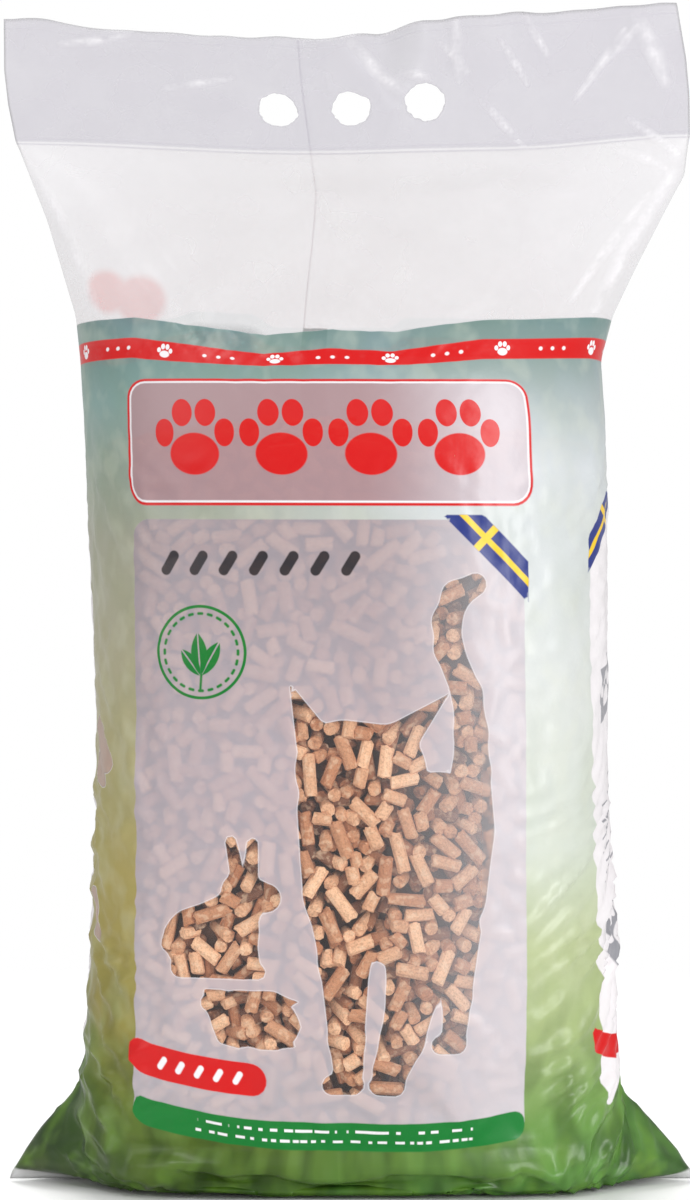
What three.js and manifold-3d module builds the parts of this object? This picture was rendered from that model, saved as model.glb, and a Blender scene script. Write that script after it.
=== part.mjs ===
// A filled bag of wood pellet cat litter that stands on its base.
// The bag is one tube of plastic film: welded flat along the bottom, lap-welded down the back,
// welded again above the pellets, and carried by three holes punched through the flat header.
// The pellets lie inside it as one loose fill, with empty film above them.
//
// Millimetres, +Z up, front towards -Y, origin at the middle of the base.
// Each level of the bag is a rounded section whose front half is exactly the lay-flat width long,
// so the depth of the bag follows from how wide it stands.

import * as THREE from "three";
import { mergeVertices } from "three/addons/utils/BufferGeometryUtils.js";
import { ConvexGeometry } from "three/addons/geometries/ConvexGeometry.js";
import Module from "manifold-3d";

// Driving dimensions
const filmThickness = 0.15; // one layer of film
const flatWidth = 360; // the film tube laid flat
const weldHeight = 540; // the weld under the header, near the middle
const headerLength = 71; // film above the weld, measured along the film
const fillLevel = 396; // top of the pellets
const fillGap = 0.4; // between the pellets and the film
const foldGap = 0.3; // half the width of the film's own side folds
const footRadius = 26; // rounding of the film where it meets the floor
const footInset = 14; // how far the flat base stops inside the body
const shoulderStart = 425; // where the film starts to close towards the weld
const shoulderDepth = 76; // half the bag's depth there
const shoulderCurve = 0.92; // 1 closes in a straight line, less bulges the shoulder out
const holeDiameter = 20.5;
const holeSpacing = 39;
const holeHeight = 25.5; // hole centre above the weld, along the film
const holeOffset = 2; // the middle hole's place across the bag
const seamX = -16; // middle of the lap weld on the back
const seamWidth = 14;
const seamLength = 640; // longer than the bag is high: the film's own height trims it
const ventDiameter = 3; // needle vent that lets trapped air out, high on the back
const ventPlace = { x: 60, z: 505 };
const earSeal = 8; // width of the flat weld at an ear's tip
const earTipLow = 2; // the tip's thickness runs from here
const earTipHigh = 5; // to here above the floor
const earTipHalf = 0.5; // half the width of the tip
const earSlope = 0.55; // an ear's upper edge as a share of its lower edge
const across = 36; // facets over the front half of a section
const roundFacets = 28;
const cutDepth = 60; // a punch goes well past both faces of the header

// How far the body reaches to the left and right of the middle at each height, and how square
// its section is: 2 is an ellipse, more is closer to a rounded box.
const levels = [
  { z: 0, left: 141, right: 149, square: 3.4 },
  { z: 3, left: 141, right: 149, square: 3.4 },
  { z: 10, left: 141, right: 149, square: 3.3 },
  { z: 22, left: 141, right: 149, square: 3.2 },
  { z: 45, left: 141, right: 149, square: 3.0 },
  { z: 80, left: 137, right: 145, square: 2.9 },
  { z: 130, left: 134.5, right: 144, square: 2.8 },
  { z: 190, left: 132.5, right: 141, square: 2.7 },
  { z: 250, left: 132, right: 140, square: 2.7 },
  { z: 310, left: 133, right: 140, square: 2.6 },
  { z: 360, left: 135, right: 140, square: 2.6 },
  { z: 400, left: 136.5, right: 138.5, square: 2.5 },
  { z: 430, left: 139, right: 136, square: 2.4 },
  { z: 452, left: 142, right: 143, square: 2.3 },
  { z: 475, left: 149, right: 155.5, square: 2.2 },
  { z: 500, left: 157, right: 168.5, square: 2.1 },
  { z: 520, left: 164, right: 178.7, square: 2.0 },
  { z: 532, left: 168.5, right: 179.6, square: 2.0 },
  { z: 538.5, left: 171.4, right: 180, square: 2.0 },
  { z: 540, left: 172, right: 180, square: 2.0 },
];

// The header's side edges, from the weld up, as shares of the header's length.
const headerLevels = [
  { share: 0.0, left: 172, right: 180 },
  { share: 0.14, left: 174, right: 180 },
  { share: 0.29, left: 176.5, right: 180 },
  { share: 0.43, left: 178, right: 179.5 },
  { share: 0.58, left: 179, right: 178.5 },
  { share: 0.79, left: 180, right: 176.5 },
  { share: 1.0, left: 180, right: 174 },
];

// The weld isn't quite level: its height at places across the bag.
const weldLine = [
  [-172, 544.5],
  [-20, 539.5],
  [80, 541.5],
  [180, 548],
];

// The header leans back, more on the left than on the right: degrees at places across it.
const headerLean = [
  [-180, 18],
  [-120, 27],
  [-20, 28],
  [15, 26],
  [45, 13],
  [75, 8],
  [180, 9],
];

// The top of the fill: shares of the section below it, and how far each is under the very top.
const moundRows = [
  [0.975, 22],
  [0.9, 11],
  [0.72, 4],
  [0.42, 0],
];

// Ears: the ends of the bottom weld, which stick out of the body at floor level. Each is a wedge
// that runs from its root, inside the body, out to its tip.
const ears = [
  { side: -1, tip: 173, root: 100, rootHalf: 44, rootTop: 44 },
  { side: 1, tip: 180, root: 106, rootHalf: 44, rootTop: 74 },
];

const wasm = await Module();
wasm.setup();

/** A three.js geometry as a manifold-3d solid. */
function solid(geometry) {
  const bare = geometry.clone();
  bare.deleteAttribute("normal");
  bare.deleteAttribute("uv");
  const merged = mergeVertices(bare, 1e-4);
  return new wasm.Manifold(
    new wasm.Mesh({
      numProp: 3,
      vertProperties: merged.attributes.position.array,
      triVerts: new Uint32Array(merged.index.array),
    }),
  );
}

/** A manifold-3d solid as a named three.js mesh. */
function piece(name, body, material) {
  const made = body.getMesh();
  const geometry = new THREE.BufferGeometry();
  geometry.setAttribute("position", new THREE.BufferAttribute(made.vertProperties, 3));
  geometry.setIndex(new THREE.BufferAttribute(made.triVerts, 1));
  geometry.computeVertexNormals();
  const mesh = new THREE.Mesh(geometry, material);
  mesh.name = name;
  return mesh;
}

/** The front half of a section, from its left fold round the front to its right fold. */
class HalfSection extends THREE.Curve {
  constructor(left, right, halfDepth, square) {
    super();
    this.halfWidth = (left + right) / 2;
    this.middle = (right - left) / 2;
    this.halfDepth = halfDepth;
    this.power = 2 / square;
    this.arcLengthDivisions = 400;
  }

  getPoint(t, target = new THREE.Vector3()) {
    const angle = Math.PI * (1 - t);
    const c = Math.cos(angle);
    const x = this.middle + this.halfWidth * Math.sign(c) * Math.abs(c) ** this.power;
    const y = -this.halfDepth * Math.abs(Math.sin(angle)) ** this.power;
    return target.set(x, y, 0);
  }
}

/** The half depth at which the front of a section is as long as the film tube is wide. */
function depthOfFilm(level) {
  let low = 0;
  let high = flatWidth / 2;
  for (let step = 0; step < 24; step += 1) {
    const middle = (low + high) / 2;
    const front = new HalfSection(level.left, level.right, middle, level.square);
    if (front.getLength() > flatWidth) high = middle;
    else low = middle;
  }
  return low;
}

/** How far the rounded foot draws the section in at a height above the floor. */
function footDraw(z) {
  if (z >= footRadius) return 0;
  const up = (footRadius - z) / footRadius;
  return footInset * (1 - Math.sqrt(1 - up * up));
}

/** Half the depth of the bag at a level: what the film allows, closing to nothing at the weld. */
function halfDepthAt(level) {
  const closing = (weldHeight - level.z) / (weldHeight - shoulderStart);
  const limit = closing < 1 ? shoulderDepth * Math.max(closing, 0) ** shoulderCurve : Infinity;
  return Math.min(depthOfFilm(level), limit);
}

/** Points along a level's front half, moved in from the film's outer face by a distance. */
function frontPoints(level, inset) {
  const draw = footDraw(level.z);
  const halfDepth = Math.max(halfDepthAt(level) - draw, 0);
  const outer = new HalfSection(level.left - draw, level.right - draw, halfDepth, level.square);
  const points = outer.getSpacedPoints(across);
  return points.map((point, i) => {
    const before = points[Math.max(i - 1, 0)];
    const after = points[Math.min(i + 1, across)];
    const along = after.clone().sub(before).normalize();
    if (i === 0 || i === across) return point.clone().setX(point.x - Math.sign(point.x) * inset);
    const moved = new THREE.Vector3(point.x - along.y * inset, point.y + along.x * inset, 0);
    return moved.setY(Math.min(moved.y, 0));
  });
}

/** A value between the rows of a two-column table, eased at each row. */
function between(table, x) {
  const last = table.length - 1;
  const row = table.findIndex(([place]) => place > x);
  if (row === 0) return table[0][1];
  if (row < 0) return table[last][1];
  const [x0, value0] = table[row - 1];
  const [x1, value1] = table[row];
  return THREE.MathUtils.lerp(value0, value1, THREE.MathUtils.smoothstep(x, x0, x1));
}

/** Closes rows of half sections into a solid: two sheets joined along both side folds. */
function pillow(rows) {
  const box = new THREE.BoxGeometry(1, 1, 1, across, 1, rows.length - 1);
  const place = box.attributes.position;
  for (let i = 0; i < place.count; i += 1) {
    const column = Math.round((place.getX(i) + 0.5) * across);
    const row = rows[Math.round((place.getZ(i) + 0.5) * (rows.length - 1))];
    const face = Math.sign(place.getY(i));
    const front = row.front[column];
    place.setXYZ(i, front.x, row.lie(front.x) + face * (row.fold - front.y), row.height(front.x));
  }
  return solid(box);
}

/** A row of the body at a distance inside the film's outer face. */
function bodyRow(level, inset, z = level.z) {
  const rise = THREE.MathUtils.smoothstep(level.z, shoulderStart, weldHeight);
  return {
    front: frontPoints(level, inset),
    fold: Math.max(foldGap - inset, 0.05),
    lie: () => 0,
    height: (x) => z + rise * (between(weldLine, x) - weldHeight),
  };
}

/** A row of the flat header: two layers of film that lean back together. */
function headerRow({ share, left, right }) {
  const lean = (x) => THREE.MathUtils.degToRad(between(headerLean, x));
  const along = share * headerLength;
  return {
    front: new HalfSection(left, right, 0, 2).getSpacedPoints(across),
    fold: filmThickness,
    lie: (x) => along * Math.sin(lean(x)),
    height: (x) => between(weldLine, x) + along * Math.cos(lean(x)),
  };
}

/** One ear as a wedge, or the hollow inside its film. */
function ear({ side, tip, root, rootHalf, rootTop }, inset) {
  const hollow = inset > 0;
  const reach = side * (hollow ? tip - earSeal : tip);
  const thin = hollow ? earTipHalf - inset : earTipHalf;
  const points = [-1, 1].flatMap((y) => [
    new THREE.Vector3(reach, y * thin, earTipLow + inset),
    new THREE.Vector3(reach, y * thin, earTipHigh - inset),
    new THREE.Vector3(side * root, y * (rootHalf - inset), earTipHalf + inset),
    new THREE.Vector3(side * root, y * (rootHalf * earSlope - inset), rootTop - inset * 3),
  ]);
  return solid(new ConvexGeometry(points));
}

/** A round cutter that runs along Y through a place on the bag. */
function drill(diameter, x, z, y, length, flatten = 1) {
  const rod = new THREE.CylinderGeometry(diameter / 2, diameter / 2, length, roundFacets);
  rod.scale(1, 1, flatten);
  rod.translate(x, y, z);
  return solid(rod);
}

/** The three carrying holes, punched square through the leaning header. */
function carryHoles() {
  const cuts = [];
  for (const step of [-1, 0, 1]) {
    const x = holeOffset + step * holeSpacing;
    const lean = THREE.MathUtils.degToRad(between(headerLean, x));
    const z = between(weldLine, x) + holeHeight * Math.cos(lean);
    const y = holeHeight * Math.sin(lean);
    cuts.push(drill(holeDiameter, x, z, y, cutDepth, Math.cos(lean)));
  }
  return cuts;
}

/** The lap weld down the back, from above the foot to the top: a strip of double film. */
function lapWeld() {
  const rows = [
    ...levels.slice(4).map((level) => bodyRow(level, -filmThickness)),
    ...headerLevels.slice(1).map((level) => ({ ...headerRow(level), fold: filmThickness * 2 })),
  ];
  const strip = new THREE.BoxGeometry(seamWidth, flatWidth, seamLength);
  strip.translate(seamX, flatWidth / 2, seamLength / 2 + levels[4].z);
  return pillow(rows).intersect(solid(strip));
}

/** The whole bag of film, hollow from the base to the weld. */
function filmBag(material) {
  const outerRows = [
    ...levels.map((level) => bodyRow(level, 0)),
    ...headerLevels.slice(1).map(headerRow),
  ];
  const innerRows = levels
    .slice(0, -1)
    .map((level) => bodyRow(level, filmThickness, Math.max(level.z, filmThickness)));
  const outside = ears.reduce((all, one) => all.add(ear(one, 0)), pillow(outerRows));
  const inside = ears.reduce((all, one) => all.add(ear(one, filmThickness)), pillow(innerRows));
  const vent = drill(ventDiameter, ventPlace.x, ventPlace.z, cutDepth / 2, cutDepth);
  const cuts = [inside, vent, ...carryHoles()];
  const bag = cuts.reduce((all, cut) => all.subtract(cut), outside.add(lapWeld()));
  return piece("film_bag", bag, material);
}

/** The loose pellets as one body with a low mound on top. */
function pelletFill(material) {
  const inset = filmThickness + fillGap;
  const filled = levels.filter((level) => level.z < fillLevel - 20);
  const body = filled.map((level) => bodyRow(level, inset, Math.max(level.z, inset)));
  const brim = body[body.length - 1];
  const mound = moundRows.map(([share, drop]) => ({
    ...brim,
    front: brim.front.map((point) => point.clone().multiplyScalar(share)),
    height: () => fillLevel - drop,
  }));
  return piece("pellet_fill", pillow([...body, ...mound]), material);
}

const film = new THREE.MeshStandardMaterial({
  color: 0xcfd6cf,
  roughness: 0.3,
  metalness: 0,
  transparent: true,
  opacity: 0.55,
});
const wood = new THREE.MeshStandardMaterial({ color: 0xc49a6c, roughness: 0.85, metalness: 0 });

const bag = new THREE.Group();
bag.name = "cat_litter_bag";
bag.add(filmBag(film), pelletFill(wood));

export default bag;
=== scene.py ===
import math

import bmesh
import bpy
import numpy as np
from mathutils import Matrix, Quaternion, Vector, noise


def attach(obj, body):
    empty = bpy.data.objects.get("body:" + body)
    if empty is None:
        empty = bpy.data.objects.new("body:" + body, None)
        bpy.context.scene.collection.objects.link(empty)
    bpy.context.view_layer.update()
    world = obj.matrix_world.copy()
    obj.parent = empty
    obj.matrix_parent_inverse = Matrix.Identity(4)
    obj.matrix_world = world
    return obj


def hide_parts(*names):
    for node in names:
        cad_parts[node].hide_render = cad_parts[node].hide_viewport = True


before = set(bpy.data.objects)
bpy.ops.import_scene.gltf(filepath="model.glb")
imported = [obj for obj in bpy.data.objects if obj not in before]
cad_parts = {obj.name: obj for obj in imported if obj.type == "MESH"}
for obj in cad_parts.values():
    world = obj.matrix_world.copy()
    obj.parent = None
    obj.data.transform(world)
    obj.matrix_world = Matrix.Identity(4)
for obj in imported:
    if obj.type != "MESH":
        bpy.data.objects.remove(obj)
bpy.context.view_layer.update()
mm = 0.001


# The film. It is one tube: flatAt runs up it from the bottom weld, and around it from the lap weld
# on the back, by the left side to the front and by the right side to the back again.

filmBag = {
    "flatWidth": 360,  # the tube laid flat
    "weldAt": 632,  # from the bottom weld up to the weld under the header
    "headerLength": 71,
    "columns": 144,
    "rows": 140,
    "lapWeldAt": -16,  # across the back
    "lapWeldWidth": 14,
    "weldGap": 0.3,  # between the two layers of the header
    "foot": {"flat": 54, "radius": 22, "floor": 1.2},
    "ear": {"reach": 52, "climb": 40},  # the side folds climb out of the ears by this much
    "shoulderStart": 395,  # from here up the film closes to the weld
}

# Height, reach to the left and right of the middle, and squareness of the bag's section
sections = [
    (0, 141, 149, 3.4),
    (45, 140, 147, 3.0),
    (80, 136, 143, 2.9),
    (130, 133, 141, 2.8),
    (190, 131, 137.5, 2.7),
    (250, 130.5, 136.5, 2.7),
    (310, 131.5, 136, 2.6),
    (360, 133.5, 136, 2.6),
    (400, 135, 134.5, 2.5),
    (430, 137.5, 132, 2.4),
    (452, 140.5, 138.5, 2.3),
    (475, 148, 151, 2.2),
    (500, 156, 165, 2.1),
    (520, 164, 177, 2.0),
    (540, 172, 180, 2.0),
]
weldLine = [(-172, 544.5), (-20, 539.5), (80, 541.5), (180, 548)]  # height of the header's weld
headerLean = [(-180, 18), (-120, 27), (-20, 28), (15, 26), (45, 13), (75, 8), (180, 9)]  # degrees back
headerEdges = [(0, 172, 180), (0.3, 176.5, 180), (0.58, 179, 178.5), (1, 180, 174)]  # share up, reach


def tubeLength():
    return filmBag["weldAt"] + filmBag["headerLength"]


def onTable(table, place, column=1):
    return np.interp(place, [row[0] for row in table], [row[column] for row in table])


def smoothStep(low, high, value):
    share = np.clip((value - low) / (high - low), 0, 1)
    return share * share * (3 - 2 * share)


def easedTable(table, place):
    places = np.array([row[0] for row in table], float)
    values = np.array([row[1] for row in table], float)
    at = np.clip(np.searchsorted(places, place, side="right") - 1, 0, len(table) - 2)
    share = np.clip((place - places[at]) / (places[at + 1] - places[at]), 0, 1)
    share = share * share * (3 - 2 * share)
    return values[at] * (1 - share) + values[at + 1] * share


def frontCurve(left, right, depth, square, steps=400):
    # the front half of a section, with the length run along it
    angle = np.linspace(math.pi, 0, steps)
    c, s = np.cos(angle), np.sin(angle)
    x = (right - left) / 2 + (left + right) / 2 * np.sign(c) * np.abs(c) ** (2 / square)
    y = -depth * np.abs(s) ** (2 / square)
    run = np.concatenate([[0], np.cumsum(np.hypot(np.diff(x), np.diff(y)))])
    return x, y, run


def fitLength(curveOf, high):
    # the value at which a front curve is as long as the tube is wide
    low = 0.0
    for _ in range(24):
        middle = (low + high) / 2
        if curveOf(middle)[2][-1] > filmBag["flatWidth"]:
            high = middle
        else:
            low = middle
    return low


def sectionDepth(z):
    start, top = filmBag["shoulderStart"], sections[-1][0]
    left, right, square = (onTable(sections, min(z, start), k) for k in (1, 2, 3))
    depth = fitLength(lambda d: frontCurve(left, right, d, square), 180.0)
    return depth * math.sin(math.pi / 2 * np.clip((top - z) / (top - start), 0, 1))


def headerRow(along, across):
    # a row of the flat header, which leans back
    share = along / filmBag["headerLength"]
    left, right = (onTable(headerEdges, share, k) for k in (1, 2))
    x = np.interp(across, [-180, 180], [-left, right])
    lean = np.radians(easedTable(headerLean, x))
    return np.stack([x, along * np.sin(lean), easedTable(weldLine, x) + along * np.cos(lean)], 1)


def bodyRow(along, across):
    # a row of the body's front: the middle runs over the foot and up, the sides climb the ears
    foot, ear, weldAt = filmBag["foot"], filmBag["ear"], filmBag["weldAt"]
    bend = foot["radius"] * math.pi / 2
    top = sections[-1][0]
    shoulderStart = filmBag["shoulderStart"]
    shoulderAt = foot["flat"] + bend + shoulderStart - foot["floor"] - foot["radius"]
    if along < foot["flat"]:
        depth, middleZ = along, foot["floor"]
    elif along < foot["flat"] + bend:
        turn = (along - foot["flat"]) / foot["radius"]
        depth = foot["flat"] + foot["radius"] * math.sin(turn)
        middleZ = foot["floor"] + foot["radius"] * (1 - math.cos(turn))
    else:
        depth = None
        middleZ = foot["floor"] + foot["radius"] + along - foot["flat"] - bend
    closing = max(along - shoulderAt, 0) / (weldAt - shoulderAt)
    if closing > 0:
        middleZ = shoulderStart + (top - shoulderStart) * closing
    sideZ = foot["floor"] + ear["climb"] * min(along / ear["reach"], 1)
    if along > ear["reach"]:
        sideZ += (top - ear["climb"]) * (along - ear["reach"]) / (weldAt - ear["reach"])
    level = min((middleZ + sideZ) / 2, top)
    left, right, square = (onTable(sections, level, k) for k in (1, 2, 3))
    if depth is None:
        depth = sectionDepth(min(middleZ if closing > 0 else level, top))
        wider = 0
    else:
        wider = fitLength(lambda w: frontCurve(left + w, right + w, depth, square), 60.0)
    x, y, run = frontCurve(left + wider, right + wider, depth, square)
    place = (across + 180) / 360 * run[-1]
    x, y = np.interp(place, run, x), np.interp(place, run, y)
    side = np.clip((np.abs(across) / 180 - 0.55) / 0.45, 0, 1) ** 2
    z = middleZ * (1 - side) + sideZ * side + closing * (easedTable(weldLine, x) - top)
    return np.stack([x, y, z], 1)


def tubeRows():
    # flat heights of the rows of film, with one on the weld
    below = int(filmBag["rows"] * 0.9)
    body = np.linspace(0, filmBag["weldAt"], below)
    header = np.linspace(filmBag["weldAt"], tubeLength(), filmBag["rows"] - below + 1)
    return np.concatenate([body, header[1:]])


def lapWeldAround():
    return -filmBag["flatWidth"] - filmBag["lapWeldAt"]


def firstAround():
    # where the tube's mesh starts: the column nearest the lap weld, so that columns meet at the folds
    spacing = 2 * filmBag["flatWidth"] / filmBag["columns"]
    return math.ceil(lapWeldAround() / spacing) * spacing


def aroundOf(columns):
    # each column's place around the tube from the middle of the front, its place across, its layer
    spacing = 2 * filmBag["flatWidth"] / columns
    half = filmBag["flatWidth"] / 2
    around = firstAround() + np.arange(columns) * spacing
    onFront = np.abs(around) <= half
    across = np.where(onFront, around, np.where(around < 0, -2 * half - around, 2 * half - around))
    return around, across, onFront


def tubeShape():
    rows = tubeRows()
    _, across, onFront = aroundOf(filmBag["columns"])
    shape = np.zeros((len(rows), filmBag["columns"], 3))
    for r, along in enumerate(rows):
        inHeader = along >= filmBag["weldAt"]
        line = headerRow(along - filmBag["weldAt"], across) if inHeader else bodyRow(along, across)
        if inHeader:
            line[:, 1] += np.where(onFront, -0.5, 0.5) * filmBag["weldGap"]
        else:
            line[:, 1] *= np.where(onFront, 1, -1)
        shape[r] = line
    return rows, across, shape


def tubeGrid(points, fields=()):
    # a bmesh grid bent to rows of points, each row a ring; fields are numbers kept on its points
    rows, columns = points.shape[:2]
    shape = bmesh.new()
    shape.loops.layers.uv.new("OFBake")
    bmesh.ops.create_grid(shape, x_segments=columns, y_segments=rows - 1, size=1, calc_uvs=True)
    layers = {name: shape.verts.layers.float.new(name) for name in dict(fields)}
    places, values = (points * mm).tolist(), {name: field.tolist() for name, field in dict(fields).items()}
    shape.verts.ensure_lookup_table()
    for r in range(rows):
        for c in range(columns + 1):
            vertex = shape.verts[r * (columns + 1) + c]
            vertex.co = places[r][c % columns]
            for name, layer in layers.items():
                vertex[layer] = values[name][r][c % columns]
    seam = {shape.verts[(r + 1) * (columns + 1) - 1]: shape.verts[r * (columns + 1)] for r in range(rows)}
    bmesh.ops.weld_verts(shape, targetmap=seam)
    return shape


def addPiece(name, shape):
    mesh = bpy.data.meshes.new(name)
    shape.to_mesh(mesh)
    shape.free()
    piece = bpy.data.objects.new(name, mesh)
    bpy.context.scene.collection.objects.link(piece)
    return piece


# What holds the film out while it settles: the pellets, with trapped air above them

support = {
    "inset": 3.0,  # the film settles this far outside it
    "sideInset": 3.0,  # more at the sides, where the film buckles
    "airInset": 5.0,  # more above the pellets
    "lump": 2.2,  # how uneven the pellets push
    "lumpSize": 60,
    "top": 520,
    "columns": 160,
}


def supportRing(z):
    left, right, square = (onTable(sections, z, k) for k in (1, 2, 3))
    radius = filmBag["foot"]["radius"]
    drawn = radius * (1 - math.sqrt(1 - (1 - z / radius) ** 2)) if z < radius else 0
    air = 0.5 - 0.5 * math.cos(math.pi * np.clip((z - 380) / 120, 0, 1))
    inset = support["inset"] + drawn + support["airInset"] * air
    depth = sectionDepth(z) - inset
    x, y, run = frontCurve(left - inset, right - inset, depth, square)
    half = support["columns"] // 2
    place = np.linspace(0, run[-1], half + 1)
    x, y = np.interp(place, run, x), np.interp(place, run, y)
    ring = np.concatenate([np.stack([x, y], 1), np.stack([x, -y], 1)[-2:0:-1]])
    side = np.clip((np.abs(ring[:, 0]) / left - 0.8) / 0.2, 0, 1)
    ring[:, 0] -= np.sign(ring[:, 0]) * side * support["sideInset"]
    ring = np.column_stack([ring, np.full(len(ring), z)])
    for point in ring:
        push = noise.noise(Vector(point) / support["lumpSize"]) * support["lump"]
        point[:2] += point[:2] / max(np.hypot(*point[:2]), 1) * push
    return ring


def makeSupport():
    heights = np.concatenate([np.linspace(2, 24, 8), np.linspace(30, support["top"], 80)])
    shape = tubeGrid(np.array([supportRing(z) for z in heights]))
    bmesh.ops.holes_fill(shape, edges=[e for e in shape.edges if e.is_boundary])
    bmesh.ops.triangulate(shape, faces=[f for f in shape.faces if len(f.verts) > 4])
    bmesh.ops.recalc_face_normals(shape, faces=shape.faces)
    body = addPiece("fillSupport", shape)
    body.modifiers.new("Collision", "COLLISION")
    body.collision.thickness_outer = 1.5 * mm
    body.collision.thickness_inner = 20 * mm
    body.collision.cloth_friction = 1
    return body


def makeGround():
    shape = bmesh.new()
    bmesh.ops.create_grid(shape, x_segments=8, y_segments=8, size=0.4)
    ground = addPiece("ground", shape)
    ground.modifiers.new("Collision", "COLLISION")
    ground.collision.thickness_outer = 0.5 * mm
    ground.collision.cloth_friction = 10
    return ground


# The film is longer up its sides than the bag is high, so it buckles there: these start the folds

buckles = {
    "height": 0.9,  # of the folds at the top
    "lower": 2.2,  # and near the foot
    "lowerBelow": 235,
    "spacing": 27,
    "start": 0.55,  # share of the way from the middle to the side fold
    "rise": 0.75,  # the folds climb towards the right edge
    "zigzag": 1.1,  # and turn back on themselves on the left
    "turnAt": 26,
    "top": 500,
    "slack": 1.3,  # the film is cut for folds this much deeper than they start
}


def buckled(rows, across, shape, deeper=1.0):
    share = np.abs(across) / 180
    side = smoothStep(buckles["start"], 0.8, share) * (1 - 0.6 * smoothStep(0.84, 1, share))
    fromFold = 180 - np.abs(across)
    slant = np.where(
        across > 0, buckles["rise"] * fromFold, buckles["zigzag"] * np.abs(fromFold - buckles["turnAt"])
    )
    moved = shape.copy()
    for r, along in enumerate(rows):
        if not 0 < along < filmBag["weldAt"]:
            continue
        drift = np.array([noise.noise(Vector((a / 60, along / 70, 2.0))) for a in across])
        strength = np.array([noise.noise(Vector((a / 50, along / 42, 7.0))) for a in across])
        phase = 2 * math.pi * (along + slant) / buckles["spacing"] + 8 * drift
        wave = 1.2 - 2 * np.abs(np.sin(phase / 2)) ** 0.8  # narrow crests, broad hollows
        ends = np.clip(min(along / 40, (buckles["top"] - along) / 80), 0, 1)
        low = smoothStep(buckles["lowerBelow"] + 60, buckles["lowerBelow"] - 60, along)
        height = buckles["height"] * (1 - low) + buckles["lower"] * low
        amount = side * height * ends * deeper * np.clip(0.75 + 1.5 * strength, 0, 1.6)
        away = shape[r, :, :2] / np.maximum(np.hypot(*shape[r, :, :2].T), 1)[:, None]
        moved[r, :, :2] += away * (wave * amount)[:, None]
    return moved


settle = {
    "frames": 34,
    "mass": 0.04,
    "stretch": 80,
    "squeeze": 80,
    "shear": 30,
    "bend": 0.8,
    "pressure": 1.2,
    "gravity": 0.1,
}


def settleFilm(rows, start, cut):
    # the film settles from its start, with the lengths that it was cut to
    film = addPiece("filmSettling", tubeGrid(start))
    columns = filmBag["columns"]
    film.shape_key_add(name="Basis")
    lengths = film.shape_key_add(name="lengths")
    lengths.data.foreach_set("co", (cut.reshape(-1) * mm).astype(np.float32))
    lengths.value = 0
    held = film.vertex_groups.new(name="held")
    heldRows = np.flatnonzero((rows < 1) | (rows > filmBag["weldAt"] - 1))
    held.add([int(r * columns + c) for r in heldRows for c in range(columns)], 1.0, "REPLACE")

    cloth = film.modifiers.new("Cloth", "CLOTH")
    values = cloth.settings
    values.rest_shape_key = lengths
    values.vertex_group_mass = "held"
    values.quality = 6
    values.mass = settle["mass"]
    values.tension_stiffness = settle["stretch"]
    values.compression_stiffness = settle["squeeze"]
    values.shear_stiffness = settle["shear"]
    values.bending_stiffness = settle["bend"]
    values.tension_damping = values.compression_damping = values.shear_damping = 4
    values.bending_damping = 0.3
    values.air_damping = 1.5
    values.use_pressure = True
    values.uniform_pressure_force = settle["pressure"]
    values.effector_weights.gravity = settle["gravity"]
    cloth.collision_settings.distance_min = 1.5 * mm
    cloth.collision_settings.collision_quality = 2
    cloth.collision_settings.friction = 1
    cloth.point_cache.frame_end = settle["frames"]
    for step in range(1, settle["frames"] + 1):
        bpy.context.scene.frame_set(step)
    settled = film.evaluated_get(bpy.context.evaluated_depsgraph_get()).data
    points = np.zeros(len(settled.vertices) * 3, np.float32)
    settled.vertices.foreach_get("co", points)
    bpy.data.objects.remove(film)
    bpy.context.scene.frame_set(1)
    return points.reshape(start.shape).astype(float) / mm


# Small waves and creases in the stiff header and in the clear film under it

crinkles = {
    "broad": 1.5,
    "broadSize": 80,
    "fold": 1.0,
    "foldLength": 70,
    "foldWidth": 22,
    "edge": 1.9,  # how far the top edge goes up and down
    "from": 440,  # the film under the weld is crinkled from here up
}


def creaseAt(side, along):
    broad = noise.noise(Vector((side, along * 1.4, 0)) / crinkles["broadSize"]) * crinkles["broad"]
    slanted = Vector((side * 0.8 + along * 0.6, (along * 0.8 - side * 0.6), 0))
    slanted.x /= crinkles["foldLength"]
    slanted.y /= crinkles["foldWidth"]
    return broad + noise.noise(slanted) * crinkles["fold"]


def crinkled(rows, around, across, onFront, points):
    moved = points.copy()
    out = np.where(onFront, -1, 1)
    for r, along in enumerate(rows):
        if along < crinkles["from"]:
            continue
        together = smoothStep(590, filmBag["weldAt"], along)  # from the weld up both layers move as one
        apart = smoothStep(crinkles["from"], 560, along) * (1 - together)
        shared = np.array([creaseAt(place, along) for place in across])
        own = np.array([creaseAt(place, along + 900) for place in around])
        moved[r, :, 1] += together * shared + apart * out * own
        share = max(along - filmBag["weldAt"], 0) / filmBag["headerLength"]
        edge = np.array([noise.noise(Vector((place / 21, 5, 0))) for place in across])
        moved[r, :, 2] += share**3 * edge * crinkles["edge"]
    return moved


def doubled(points, closed):
    # the rows of points with a smooth row put between each two
    if closed:
        before, after, beyond = (np.roll(points, -k, axis=0) for k in (-1, 1, 2))
        between = (9 * (points + after) - before - beyond) / 16
        return np.stack([points, between], 1).reshape(-1, *points.shape[1:])
    before = np.concatenate([2 * points[:1] - points[1:2], points[:-2]])
    beyond = np.concatenate([points[2:], 2 * points[-1:] - points[-2:-1]])
    between = (9 * (points[:-1] + points[1:]) - before - beyond) / 16
    pairs = np.stack([points[:-1], between], 1).reshape(-1, *points.shape[1:])
    return np.concatenate([pairs, points[-1:]])


# Fine wrinkles of the sides, and single creases: from x, y to x, y on the flat film, width, height

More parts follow.
